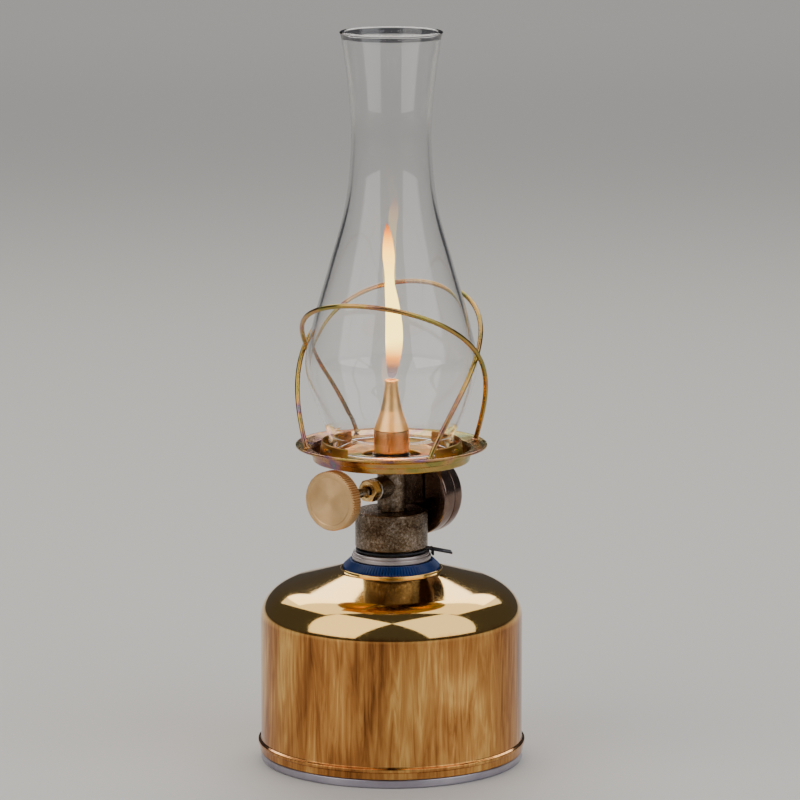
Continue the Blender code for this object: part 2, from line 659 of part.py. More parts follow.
def make_tab_washer():
    """Washer round the body's spigot, with a tab that reaches out over the centring ring."""
    bottom = CURL_TOP_Z + 1.5 * GAP
    top = bottom + TAB_SHEET
    rim = BODY_RADIUS - 0.2 * MM
    hole = SPIGOT_RADIUS + GAP
    washer = turned("tab_washer", [(hole, top), (rim, top), (rim, bottom), (hole, bottom)], NICKEL)
    inner = rim - 0.6 * MM
    reach = TAB_REACH - inner
    frame = side_frame(TAB_AZIMUTH, bottom)
    sloping = frame @ Matrix.Translation((0, 0, inner)) @ Matrix.Rotation(math.radians(TAB_DROOP), 4, "X")
    arm = block("tab_arm", (TAB_WIDTH, TAB_SHEET, reach), (0.0, TAB_SHEET / 2, reach / 2), sloping, cutter=True)
    leg_face = CURL_RADIUS + GAP
    leg = block("tab_leg", (TAB_WIDTH, TAB_LEG_DEPTH, TAB_SHEET),
                (0.0, TAB_SHEET / 2 - TAB_LEG_DEPTH / 2, leg_face + TAB_SHEET / 2), frame, cutter=True)
    join(washer, arm)
    join(washer, leg)


# ---------------------------------------------------------------------------------------------
# Valve body
# ---------------------------------------------------------------------------------------------
def make_valve_body():
    """Cast body: nose, gas passage, column, gland boss and regulator lug."""
    outline = [(0.0, STUD_TOP), (STUD_RADIUS - 0.4 * MM, STUD_TOP), (STUD_RADIUS, STUD_TOP - 0.4 * MM),
               (STUD_RADIUS, COLUMN_TOP_Z), (COLUMN_RADIUS, COLUMN_TOP_Z), (COLUMN_RADIUS, BODY_TOP_Z)]
    outline += arc((BODY_RADIUS - BODY_EDGE, BODY_TOP_Z - BODY_EDGE), (BODY_EDGE, BODY_EDGE), 90.0, 0.0, 3)
    outline += [(BODY_RADIUS, BODY_BOTTOM_Z + 0.5 * MM), (BODY_RADIUS - 0.5 * MM, BODY_BOTTOM_Z),
                (SPIGOT_RADIUS, BODY_BOTTOM_Z), (SPIGOT_RADIUS, NOSE_TOP_Z), (THREAD_RADIUS, NOSE_TOP_Z),
                (THREAD_RADIUS, NOSE_BOTTOM_Z), (0.0, NOSE_BOTTOM_Z)]
    body = turned("valve_body", outline, NICKEL, ring=False)

    inside = 2.0 * MM
    join(body, rod("boss", BOSS_RADIUS, 0.0, BOSS_FACE, None, KNOB_FRAME, cutter=True))
    lug_height = LUG_TOP_Z - LUG_BOTTOM_Z
    lug_end = REGULATOR_FACE - GAP
    lug = block("lug", (2 * LUG_HALF_WIDTH, lug_height, lug_end),
                (0.0, LUG_BOTTOM_Z + lug_height / 2, lug_end / 2), side_frame(REGULATOR_AZIMUTH, 0.0),
                cutter=True)
    join(body, lug)
    join(body, rod("port", PORT_RADIUS, lug_end - inside, lug_end + PORT_LENGTH, None, PORT_FRAME, cutter=True))

    cut(body, rod("inlet_bore", INLET_RADIUS, NOSE_BOTTOM_Z - inside, FILTER_Z + FILTER_LENGTH + GAP,
                  cutter=True))
    cut(body, rod("gas_passage", PASSAGE_RADIUS, FILTER_Z, STUD_TOP + inside, cutter=True, segments=16))
    cut(body, rod("spindle_bore", SPINDLE_BORE, NEEDLE_SEAT, BOSS_FACE + inside, None, KNOB_FRAME,
                  cutter=True))
    cut(body, rod("gland_bore", GLAND_BORE, BOSS_FACE - GLAND_DEPTH, BOSS_FACE + inside, None, KNOB_FRAME,
                  cutter=True))
    cut(body, rod("needle_seat", SPINDLE_RADIUS / 2, 0.0, NEEDLE_SEAT + inside, None, KNOB_FRAME, cutter=True,
                  segments=12))
    cut(body, rod("port_passage", PASSAGE_RADIUS * 0.75, 0.0, lug_end + PORT_LENGTH + inside, None,
                  PORT_FRAME, cutter=True, segments=12))
    return body


def make_cartridge_gasket():
    """Gasket between the cartridge's stud and the valve body."""
    bottom = STUD_TOP_Z + GAP
    inner = THREAD_RADIUS + GAP
    outline = [(inner, bottom + GASKET_THICKNESS), (STUD_OUTER_RADIUS, bottom + GASKET_THICKNESS),
               (STUD_OUTER_RADIUS, bottom), (inner, bottom)]
    return turned("cartridge_gasket", outline, RUBBER)


def make_cartridge_pin():
    """Hollow pin in the nose that presses the cartridge's valve stem."""
    tip = NOSE_BOTTOM_Z - 1.0 * MM
    flange = INLET_RADIUS - GAP
    flange_top = PIN_FLANGE_Z + 1.0 * MM
    outline = [(PIN_BORE, flange_top), (flange, flange_top), (flange, PIN_FLANGE_Z), (PIN_RADIUS, PIN_FLANGE_Z),
               (PIN_RADIUS, tip), (PIN_BORE, tip)]
    return turned("cartridge_pin", outline, STEEL, segments=16)


def make_inlet_filter():
    """Sintered filter plug above the pin."""
    return rod("inlet_filter", INLET_RADIUS - GAP, FILTER_Z, FILTER_Z + FILTER_LENGTH,
               dict(colour=(0.45, 0.30, 0.14), metallic=1.0, roughness=0.8))


# ---------------------------------------------------------------------------------------------
# Knob, spindle and gland
# ---------------------------------------------------------------------------------------------
def make_spindle():
    """Control spindle with a conical needle tip."""
    tip = NEEDLE_SEAT + GAP
    end = KNOB_FACE - 1.6 * MM
    outline = [(0.0, end), (SPINDLE_RADIUS, end), (SPINDLE_RADIUS, tip + SPINDLE_TIP), (0.4 * MM, tip), (0.0, tip)]
    return turned("spindle", outline, STEEL, KNOB_FRAME, segments=SMALL_SEGMENTS, ring=False)


def make_knob():
    """Turned brass knob with a hub for its grub screw."""
    blind = KNOB_FACE - 1.2 * MM
    outline = [(0.0, KNOB_FACE), (KNOB_RADIUS - KNOB_CHAMFER, KNOB_FACE), (KNOB_RADIUS, KNOB_FACE - KNOB_CHAMFER),
               (KNOB_RADIUS, KNOB_BACK + KNOB_CHAMFER), (KNOB_RADIUS - KNOB_CHAMFER, KNOB_BACK),
               (HUB_RADIUS, KNOB_BACK), (HUB_RADIUS, HUB_END), (SPINDLE_BORE, HUB_END),
               (SPINDLE_BORE, blind), (0.0, blind)]
    knob = turned("knob", outline, dict(colour=(0.80, 0.58, 0.34), metallic=1.0, roughness=0.35), KNOB_FRAME,
                  segments=LARGE_SEGMENTS, ring=False)
    hole = grub_frame()
    cut(knob, rod("grub_hole", GRUB_RADIUS + GAP, SPINDLE_BORE - 0.4 * MM, HUB_RADIUS + MM, None, hole, cutter=True,
                  segments=16))
    return knob


def grub_frame():
    """Return the frame of the grub screw: its Z points down from the hub's middle."""
    middle = (HUB_END + KNOB_BACK) / 2
    return KNOB_FRAME @ Matrix.Translation((0, 0, middle)) @ Matrix.Rotation(math.radians(90.0), 4, "X")


def make_knob_grub_screw():
    """Grub screw that clamps the knob to the spindle."""
    return rod("knob_grub_screw", GRUB_RADIUS, SPINDLE_BORE, HUB_RADIUS - 0.1 * MM, STEEL, grub_frame(),
               segments=16)


def make_gland():
    """O-ring, washer and hexagonal nut where the spindle leaves the body."""
    seal_back = BOSS_FACE - GLAND_DEPTH + GAP
    seal_front = BOSS_FACE - GAP - 0.4 * MM
    outer = GLAND_BORE - GAP
    turned("spindle_o_ring", [(SPINDLE_BORE, seal_front), (outer, seal_front), (outer, seal_back),
                              (SPINDLE_BORE, seal_back)],
           RUBBER, KNOB_FRAME, segments=SMALL_SEGMENTS)
    washer_front = WASHER_FACE + WASHER_THICKNESS
    turned("gland_washer", [(GLAND_BORE, washer_front), (BOSS_RADIUS + 0.1 * MM, washer_front),
                            (BOSS_RADIUS + 0.1 * MM, WASHER_FACE), (GLAND_BORE, WASHER_FACE)],
           STEEL, KNOB_FRAME, segments=SMALL_SEGMENTS)
    nut = hexagon("gland_nut", GLAND_NUT_FLATS, NUT_FACE, NUT_END, BRASS, KNOB_FRAME)
    join(nut, rod("gland_spigot", outer, seal_front + GAP, NUT_FACE + MM, None, KNOB_FRAME, cutter=True))
    cut(nut, rod("gland_mouth", GLAND_NUT_MOUTH, NUT_FACE, NUT_END + MM, None, KNOB_FRAME, cutter=True))
    cut(nut, rod("gland_hole", SPINDLE_BORE, seal_front - MM, NUT_END, None, KNOB_FRAME, cutter=True))


# ---------------------------------------------------------------------------------------------
# Pressure regulator
# ---------------------------------------------------------------------------------------------
def make_regulator():
    """Round case in two shells with diaphragm, plunger and spring."""
    inner = REGULATOR_RADIUS - REGULATOR_WALL
    shelf = inner - 1.0 * MM
    shelf_z = REGULATOR_FACE + 3.1 * MM
    floor = REGULATOR_FACE + REGULATOR_WALL
    front = turned("regulator_case_front", [
        (0.0, REGULATOR_SPLIT - REGULATOR_FRONT_DEPTH + REGULATOR_WALL), (shelf, floor), (shelf, shelf_z),
        (inner, shelf_z), (inner, REGULATOR_SPLIT), (REGULATOR_RADIUS, REGULATOR_SPLIT),
        (REGULATOR_RADIUS, REGULATOR_FACE + 0.5 * MM), (REGULATOR_RADIUS - 0.5 * MM, REGULATOR_FACE),
        (0.0, REGULATOR_FACE)], NICKEL, REGULATOR_FRAME, segments=MEDIUM_SEGMENTS, ring=False)
    cut(front, rod("port_hole", PORT_RADIUS + GAP, REGULATOR_FACE - MM, floor + MM, None, PORT_FRAME, cutter=True))

    spigot_front = shelf_z + DIAPHRAGM_THICKNESS + 2 * GAP
    spigot = inner - GAP
    bore = spigot - REGULATOR_WALL
    vent = 0.8 * MM
    back_face = REGULATOR_SPLIT + GAP
    outline = [(bore, spigot_front), (spigot, spigot_front), (spigot, back_face), (REGULATOR_RADIUS, back_face)]
    rounding = arc((REGULATOR_RADIUS - REGULATOR_ROUNDING, REGULATOR_BACK - REGULATOR_ROUNDING),
                   (REGULATOR_ROUNDING, REGULATOR_ROUNDING), 0.0, 90.0, 4)
    outline += rounding + [(vent, REGULATOR_BACK), (vent, REGULATOR_BACK - REGULATOR_WALL),
                           (bore, REGULATOR_BACK - REGULATOR_WALL)]
    turned("regulator_case_back", outline[::-1], NICKEL, REGULATOR_FRAME)

    diaphragm_front = shelf_z + GAP
    diaphragm_back = diaphragm_front + DIAPHRAGM_THICKNESS
    hole = PLUNGER_RADIUS + GAP
    turned("regulator_diaphragm", [(hole, diaphragm_back), (spigot, diaphragm_back), (spigot, diaphragm_front),
                                   (hole, diaphragm_front)], RUBBER, REGULATOR_FRAME)
    flange_front = diaphragm_back + GAP
    flange_back = flange_front + 0.4 * MM
    tip = REGULATOR_FACE - GAP + PORT_LENGTH + 2 * GAP
    turned("regulator_plunger", [(0.0, flange_back), (PLUNGER_FLANGE, flange_back), (PLUNGER_FLANGE, flange_front),
                                 (PLUNGER_RADIUS, flange_front), (PLUNGER_RADIUS, tip), (0.0, tip)],
           BRASS, REGULATOR_FRAME, segments=SMALL_SEGMENTS, ring=False)
    spring("regulator_spring", 3.6 * MM, 0.5 * MM, flange_back + PLUNGER_TRAVEL + 0.2 * MM,
           REGULATOR_BACK - REGULATOR_WALL - GAP, 3, STEEL, REGULATOR_FRAME)


# ---------------------------------------------------------------------------------------------
# Plate, glass seat and burner
# ---------------------------------------------------------------------------------------------
def make_plate():
    """Pressed saucer clamped on top of the column."""
    hole = STUD_RADIUS + GAP
    inside = PLATE_SHEET
    step = PLATE_STEP_RADIUS
    outline = [(PLATE_RADIUS - 0.5 * MM, PLATE_LIP_Z + 0.1 * MM), (PLATE_RADIUS, PLATE_LIP_Z - 0.3 * MM),
               (PLATE_RADIUS - 0.3 * MM, PLATE_LIP_Z - 0.8 * MM), (step, PLATE_STEP_Z),
               (step - 0.3 * MM, PLATE_STEP_Z - 0.8 * MM),
               (PLATE_FLOOR_RADIUS + 1.2 * MM, PLATE_BOTTOM_Z + 0.5 * MM), (PLATE_FLOOR_RADIUS, PLATE_BOTTOM_Z),
               (hole, PLATE_BOTTOM_Z), (hole, PLATE_FLOOR_Z), (PLATE_FLOOR_RADIUS - 0.3 * MM, PLATE_FLOOR_Z),
               (PLATE_FLOOR_RADIUS + 0.7 * MM, PLATE_FLOOR_Z + 0.4 * MM),
               (step - 1.1 * MM, PLATE_STEP_Z - 0.3 * MM), (step - 0.6 * MM, PLATE_STEP_Z + inside),
               (PLATE_RADIUS - 1.0 * MM, PLATE_LIP_Z - 0.3 * MM)]
    return turned("plate", outline, ZINC, segments=LARGE_SEGMENTS)


def make_glass_seat():
    """Inner disc of the plate, with the ridge that stands round the glass foot."""
    foot = SEAT_RIDGE_RADIUS + 1.0 * MM
    foot_z = PLATE_FLOOR_Z + GAP
    half = SEAT_SHEET / 2
    inner = SEAT_RIDGE_RADIUS - half
    outline = [(SEAT_RIDGE_RADIUS, SEAT_RIDGE_Z), (SEAT_RIDGE_RADIUS + half, SEAT_RIDGE_Z - 0.5 * MM),
               (foot, foot_z + 1.4 * MM), (foot + 0.4 * MM, foot_z), (foot - 0.5 * MM, foot_z),
               (inner + 0.1 * MM, SEAT_FLOOR_Z - SEAT_SHEET), (SEAT_HOLE_RADIUS, SEAT_FLOOR_Z - SEAT_SHEET),
               (SEAT_HOLE_RADIUS, SEAT_FLOOR_Z), (inner - 0.5 * MM, SEAT_FLOOR_Z), (inner, SEAT_RIDGE_Z - 0.5 * MM)]
    seat = turned("glass_seat", outline, ZINC, segments=LARGE_SEGMENTS)
    reach = 2 * (foot + MM)
    opening = block("seat_opening", (SEAT_GAP, reach, SEAT_RIDGE_HEIGHT),
                    (0.0, 0.0, SEAT_FLOOR_Z + 0.6 * MM + SEAT_RIDGE_HEIGHT / 2), UPRIGHT, cutter=True)
    return cut(seat, opening)


def make_plate_fixing():
    """Washer and thin nut that clamp the plate on the column's stud."""
    hole = STUD_RADIUS + GAP
    top = PLATE_WASHER_Z + PLATE_WASHER_THICKNESS
    turned("plate_washer", [(hole, top), (PLATE_WASHER_RADIUS, top), (PLATE_WASHER_RADIUS, PLATE_WASHER_Z),
                            (hole, PLATE_WASHER_Z)], STEEL)
    nut = hexagon("plate_nut", NUT_FLATS, NUT_Z, NUT_Z + NUT_THICKNESS, STEEL)
    cut(nut, rod("nut_hole", hole, NUT_Z - MM, NUT_Z + NUT_THICKNESS + MM, cutter=True))


def make_burner():
    """Gas jet, burner base and flared cone."""
    jet_top = JET_Z + JET_LENGTH
    turned("burner_jet", [(JET_HOLE, jet_top), (JET_RADIUS - 0.8 * MM, jet_top), (JET_RADIUS, jet_top - 1.2 * MM),
                          (JET_RADIUS, JET_Z), (JET_HOLE, JET_Z)], BRASS, segments=16)
    bore = STUD_RADIUS + GAP
    base_top = BURNER_Z + BURNER_BASE_HEIGHT
    throat = BURNER_RADIUS - CONE_WALL
    turned("burner_base", [(bore, base_top), (BURNER_RADIUS, base_top), (BURNER_RADIUS, BURNER_Z + 0.3 * MM),
                           (BURNER_RADIUS - 0.3 * MM, BURNER_Z), (bore, BURNER_Z)],
           dict(colour=(0.80, 0.52, 0.27), metallic=1.0, roughness=0.4))
    outside = cone_outline(BURNER_RADIUS, CONE_TOP_RADIUS)
    inside = cone_outline(throat, CONE_TOP_RADIUS - CONE_WALL)
    turned("burner_cone", outside + inside[::-1], dict(colour=(0.85, 0.58, 0.30), metallic=1.0, roughness=0.15))


def cone_outline(foot_radius, top_radius):
    """Return the concave flare of the burner cone, top to foot."""
    steps = 5
    points = []
    for i in range(steps + 1):
        height = CONE_TOP_Z - CONE_HEIGHT * i / steps
        share = i / steps
        points.append((top_radius + (foot_radius - top_radius) * share ** CONE_FLARE, height))
    return points


# ---------------------------------------------------------------------------------------------
# Glass chimney and guard
# ---------------------------------------------------------------------------------------------
def glass_knots():
    """Return the outline's knots, from the rim down to the foot."""
    throat_z = GLASS_TOP_Z - 38.4 * MM
    bulge_z = GLASS_BOTTOM_Z + 29.0 * MM
    fall = GLASS_BULGE_RADIUS - GLASS_THROAT_RADIUS
    flare = GLASS_RIM_RADIUS - GLASS_THROAT_RADIUS
    drop = throat_z - bulge_z
    return [(GLASS_RIM_RADIUS, GLASS_TOP_Z), (GLASS_THROAT_RADIUS + 0.26 * flare, throat_z + 18.0 * MM),
            (GLASS_THROAT_RADIUS, throat_z), (GLASS_THROAT_RADIUS + 0.13 * fall, throat_z - 0.28 * drop),
            (GLASS_THROAT_RADIUS + 0.49 * fall, throat_z - 0.555 * drop),
            (GLASS_THROAT_RADIUS + 0.84 * fall, throat_z - 0.81 * drop),
            (GLASS_BULGE_RADIUS, bulge_z),
            (GLASS_FOOT_RADIUS + 0.55 * (GLASS_BULGE_RADIUS - GLASS_FOOT_RADIUS), GLASS_BOTTOM_Z + 15.3 * MM),
            (GLASS_FOOT_RADIUS, GLASS_BOTTOM_Z + 4.8 * MM)]


def make_glass():
    """Blown chimney, open at both ends."""
    outside = smooth_outline(glass_knots(), 2) + [(GLASS_FOOT_RADIUS, GLASS_BOTTOM_Z)]
    inside = [(radius - GLASS_WALL, height) for radius, height in outside]
    outside[0] = (GLASS_RIM_RADIUS + GLASS_RIM_BEAD / 2, GLASS_TOP_Z)
    outside.insert(1, (GLASS_RIM_RADIUS + GLASS_RIM_BEAD / 2, GLASS_TOP_Z - 1.0 * MM))
    return turned("glass_chimney", outside + inside[::-1],
                  dict(colour=(1.0, 1.0, 1.0), metallic=0.0, roughness=0.02, transmission=1.0),
                  segments=MEDIUM_SEGMENTS)


def hoop_points(azimuth):
    """Return the run of one hoop, from foot to foot, leaning towards the azimuth.

    The stagger carries the hoop outside its twin on one side and inside it on the other.
    """
    foot_z = plate_height_at(HOOP_FOOT_RADIUS + WIRE_RADIUS) + 1.5 * GAP
    rise = HOOP_TOP_Z - WIRE_RADIUS - foot_z
    points = []
    for i in range(HOOP_POINTS + 1):
        turn = math.radians(180.0 * i / HOOP_POINTS - 90.0)
        share = math.sin(turn)
        radius = (HOOP_TOP_RADIUS + (HOOP_FOOT_RADIUS - HOOP_TOP_RADIUS) * share ** 2
                  + HOOP_BELLY * share ** 2 * math.cos(turn) + HOOP_STAGGER * share * math.cos(turn))
        level = max(math.cos(turn), 0.0)
        height = foot_z + rise * level ** (2 * HOOP_FULLNESS) + HOOP_TILT * share * level
        place = radius * direction(azimuth + HOOP_HALF_SPREAD * share)
        points.append((place.x, place.y, height))
    return points


def plate_height_at(radius):
    """Return the height of the plate's sloping inside at a radius."""
    low = (PLATE_STEP_RADIUS - 0.6 * MM, PLATE_STEP_Z + PLATE_SHEET)
    high = (PLATE_RADIUS - 1.0 * MM, PLATE_LIP_Z - 0.3 * MM)
    return low[1] + (high[1] - low[1]) * (radius - low[0]) / (high[0] - low[0])


def make_guard():
    """Two equal hoops on opposite sides of the axis."""
    for name, azimuth in (("guard_hoop_a", HOOP_AZIMUTH), ("guard_hoop_b", HOOP_AZIMUTH + 180.0)):
        wire(name, hoop_points(azimuth), WIRE_RADIUS, ZINC)


def main():
    """Build the lamp from the table up."""
    make_cartridge_shell()
    make_cartridge_base()
    make_valve_cup()
    make_valve_housing()
    make_valve_seal()
    make_valve_stem()
    make_valve_spring()
    make_cover()
    make_grommet()
    make_tab_washer()
    make_valve_body()
    make_cartridge_gasket()
    make_cartridge_pin()
    make_inlet_filter()
    make_spindle()
    make_knob()
    make_knob_grub_screw()
    make_gland()
    make_regulator()
    make_plate()
    make_glass_seat()
    make_plate_fixing()
    make_burner()
    make_glass()
    make_guard()


main()
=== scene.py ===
"""Looks of the gas candle lamp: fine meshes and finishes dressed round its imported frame."""

import json
import logging
import math
from dataclasses import dataclass
from enum import Enum
from typing import Iterable, Sequence

import bmesh
import bpy
from mathutils import Matrix, Vector


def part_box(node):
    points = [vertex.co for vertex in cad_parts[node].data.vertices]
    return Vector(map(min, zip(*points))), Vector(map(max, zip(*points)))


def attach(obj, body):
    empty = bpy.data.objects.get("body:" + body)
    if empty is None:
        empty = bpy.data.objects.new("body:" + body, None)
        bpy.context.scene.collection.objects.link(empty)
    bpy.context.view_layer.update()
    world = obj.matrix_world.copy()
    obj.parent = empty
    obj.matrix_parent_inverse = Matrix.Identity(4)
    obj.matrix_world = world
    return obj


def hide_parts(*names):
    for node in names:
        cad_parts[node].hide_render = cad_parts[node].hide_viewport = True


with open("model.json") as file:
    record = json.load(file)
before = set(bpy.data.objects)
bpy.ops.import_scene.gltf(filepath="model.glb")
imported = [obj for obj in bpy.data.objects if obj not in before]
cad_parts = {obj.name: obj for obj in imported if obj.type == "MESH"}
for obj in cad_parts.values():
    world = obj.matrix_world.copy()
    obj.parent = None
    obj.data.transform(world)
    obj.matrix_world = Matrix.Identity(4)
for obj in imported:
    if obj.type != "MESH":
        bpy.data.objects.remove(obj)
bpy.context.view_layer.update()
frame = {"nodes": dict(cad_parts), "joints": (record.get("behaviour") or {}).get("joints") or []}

LOG = logging.getLogger("gas_candle_lamp")
MM = 0.001
STUD_BORE = 4.7 * MM
STUD_LENGTH = 8.2 * MM
COLUMN_LENGTH = 17.1 * MM
PORT_LIFT = 5.7 * MM
HALF_CORNER = math.radians(30.0)
Point = tuple[float, float]
Colour = tuple[float, float, float]


class Body(Enum):
    """Bodies of the frame that the new pieces ride on."""

    CARTRIDGE = "cartridge"
    COVER = "cover"
    HEAD = "head"
    KNOB = "knob"
    CHIMNEY = "chimney"


class Detail(Enum):
    """Steps of a full turn, by how large a turned piece is in the picture."""

    RIBBED = 576
    LARGE = 192
    MEDIUM = 128
    SMALL = 72


def low(node: str) -> Vector:
    """Return the lowest corner of a CAD node."""
    return Vector(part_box(node)[0])


def high(node: str) -> Vector:
    """Return the highest corner of a CAD node."""
    return Vector(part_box(node)[1])


def joint(name: str) -> dict:
    """Return a joint of the frame by its name."""
    return next(item for item in frame["joints"] if item["name"] == name)


def heading(azimuth: float) -> Vector:
    """Return the level unit vector at an azimuth in degrees from +X."""
    angle = math.radians(azimuth)
    return Vector((math.cos(angle), math.sin(angle), 0.0))


def side_frame(outward: Vector, height: float) -> Matrix:
    """Return a frame on the lamp's axis whose Z points sideways and whose Y is up.

    Args:
        outward: Level direction of the frame's Z.
        height: Height of the frame's origin.

    Returns:
        The frame as a 4x4 matrix.
    """
    up = Vector((0.0, 0.0, 1.0))
    turned = Matrix((up.cross(outward), up, outward)).transposed().to_4x4()
    turned.translation = Vector((0.0, 0.0, height))
    return turned


# Outlines of turned pieces
class Outline:
    """Corners of a turned outline, each with its own rounding."""

    def __init__(self) -> None:
        """Start with no corners."""
        self.corners: list[tuple[float, float, float]] = []

    def to(self, radius: float, height: float, rounding: float = 0.0) -> "Outline":
        """Add a corner.

        Args:
            radius: Distance from the axis.
            height: Height along the axis.
            rounding: Radius of the fillet at this corner.

        Returns:
            This outline, so that calls can be chained.
        """
        self.corners.append((radius, height, rounding))
        return self

    def through(self, points: Iterable[Point]) -> "Outline":
        """Add points that need no rounding, and return this outline."""
        for radius, height in points:
            self.to(radius, height)
        return self

    def points(self, ring: bool = True, steps: int = 5) -> list[Point]:
        """Return the outline with its corners rounded.

        Args:
            ring: Whether the last corner joins the first.
            steps: Segments in each fillet.

        Returns:
            Points as radius and height.
        """
        made: list[Point] = []
        count = len(self.corners)
        for index, (radius, height, rounding) in enumerate(self.corners):
            inner = ring or 0 < index < count - 1
            if rounding <= 0.0 or not inner:
                made.append((radius, height))
                continue
            here = Vector((radius, height))
            before = Vector(self.corners[index - 1][:2]) - here
            after = Vector(self.corners[(index + 1) % count][:2]) - here
            made += fillet(here, before, after, rounding, steps)
        return made


def fillet(here: Vector, before: Vector, after: Vector, rounding: float, steps: int) -> list[Point]:
    """Return the arc that rounds a corner.

    Args:
        here: The corner.
        before: Way to the corner before it.
        after: Way to the corner after it.
        rounding: Radius of the arc.
        steps: Segments in the arc.

    Returns:
        Points of the arc.
    """
    half = before.angle(after) / 2
    reach = min(rounding / max(math.tan(half), 1e-6), 0.46 * before.length, 0.46 * after.length)
    start = here + before.normalized() * reach
    end = here + after.normalized() * reach
    weight = math.sin(half)
    arc: list[Point] = []
    for step in range(steps + 1):
        t = step / steps
        parts = ((1 - t) ** 2, 2 * t * (1 - t) * weight, t ** 2)
        place = (start * parts[0] + here * parts[1] + end * parts[2]) / sum(parts)
        arc.append((place.x, place.y))
    return arc


def arc(centre: Point, radii: Point, start: float, end: float, steps: int) -> list[Point]:
    """Return points of an elliptic arc.

    Args:
        centre: Centre of the ellipse.
        radii: Its half width and half height.
        start: First angle in degrees from +X.
        end: Last angle in degrees.
        steps: Segments in the arc.

    Returns:
        Points as radius and height.
    """
    points: list[Point] = []
    for step in range(steps + 1):
        angle = math.radians(start + (end - start) * step / steps)
        points.append((centre[0] + radii[0] * math.cos(angle), centre[1] + radii[1] * math.sin(angle)))
    return points


def flowing(knots: Sequence[Point], steps: int) -> list[Point]:
    """Return a smooth outline through the knots, by Catmull-Rom interpolation."""
    ends = [knots[0], *knots, knots[-1]]
    points: list[Point] = []
    for a, b, c, d in zip(ends, ends[1:], ends[2:], ends[3:]):
        for step in range(steps):
            t = step / steps
            points.append(tuple(
                0.5 * (2 * q + (r - p) * t + (2 * p - 5 * q + 4 * r - s) * t ** 2
                       + (3 * q - p - 3 * r + s) * t ** 3)
                for p, q, r, s in zip(a, b, c, d)))
    points.append(knots[-1])
    return points


def inset(points: Sequence[Point], wall: float) -> list[Point]:
    """Return an outline moved inwards by a wall's thickness.

    Args:
        points: Outside of the wall, from top to bottom.
        wall: Thickness of the wall.

    Returns:
        The inside of the wall, from top to bottom.
    """
    moved: list[Point] = []
    for index, point in enumerate(points):
        before = Vector(points[max(index - 1, 0)])
        after = Vector(points[min(index + 1, len(points) - 1)])
        along = (after - before).normalized()
        moved.append((point[0] + along.y * wall, point[1] - along.x * wall))
    return moved


# Meshes
def spun(points: Sequence[Point], ring: bool = True, detail: Detail = Detail.MEDIUM,
         place: Matrix | None = None) -> bmesh.types.BMesh:
    """Spin an outline into a closed solid.

    Args:
        points: Outline as radius and height; unless it is a ring, it starts and ends on the axis.
        ring: Whether the outline closes on itself.
        detail: Steps of the full turn.
        place: Frame of the axis, or None for the lamp's own.

    Returns:
        The solid, with its faces outwards.
    """
    shape = bmesh.new()
    verts = [shape.verts.new((radius, 0.0, height)) for radius, height in points]
    edges = [shape.edges.new(pair) for pair in zip(verts, verts[1:])]
    if ring:
        edges.append(shape.edges.new((verts[-1], verts[0])))
    bmesh.ops.spin(shape, geom=verts + edges, cent=(0, 0, 0), axis=(0, 0, 1), dvec=(0, 0, 0),
                   angle=math.tau, steps=detail.value, use_merge=True, use_duplicate=False)
    bmesh.ops.remove_doubles(shape, verts=shape.verts, dist=1e-7)
    bmesh.ops.dissolve_degenerate(shape, dist=1e-8, edges=shape.edges)
    bmesh.ops.recalc_face_normals(shape, faces=shape.faces)
    if place is not None:
        bmesh.ops.transform(shape, matrix=place, verts=shape.verts)
    return shape


def bevelled(shape: bmesh.types.BMesh, width: float, segments: int = 3, angle: float = 50.0) -> None:
    """Bevel the edges of a shape that are sharper than an angle in degrees."""
    sharp = [edge for edge in shape.edges
             if len(edge.link_faces) == 2 and edge.calc_face_angle(0.0) > math.radians(angle)]
    bmesh.ops.bevel(shape, geom=sharp, offset=width, offset_type="OFFSET", segments=segments,
                    profile=0.5, affect="EDGES", clamp_overlap=True, material=-1)


def slab(size: Vector, centre: Vector, place: Matrix, rounding: float) -> bmesh.types.BMesh:
    """Make a box with rounded edges.

    Args:
        size: Its sizes along the frame's axes.
        centre: Its middle in the frame.
        place: The frame.
        rounding: Width of the bevel on its edges.

    Returns:
        The box.
    """
    shape = bmesh.new()
    bmesh.ops.create_cube(shape, size=1.0)
    bmesh.ops.scale(shape, vec=size, verts=shape.verts)
    bevelled(shape, rounding)
    bmesh.ops.translate(shape, vec=centre, verts=shape.verts)
    bmesh.ops.transform(shape, matrix=place, verts=shape.verts)
    return shape


def cylinder(radius: float, start: float, end: float, place: Matrix,
             segments: int = 64) -> bmesh.types.BMesh:
    """Make a plain cylinder or prism between two distances along a frame's Z."""
    shape = bmesh.new()
    bmesh.ops.create_cone(shape, cap_ends=True, segments=segments, radius1=radius, radius2=radius,
                          depth=end - start, matrix=place @ Matrix.Translation((0, 0, (start + end) / 2)))
    return shape


def temporary(shape: bmesh.types.BMesh, name: str) -> bpy.types.Object:
    """Turn a shape into an object that a Boolean can read."""
    mesh = bpy.data.meshes.new(name)
    shape.to_mesh(mesh)
    shape.free()
    made = bpy.data.objects.new(name, mesh)
    bpy.context.scene.collection.objects.link(made)
    return made


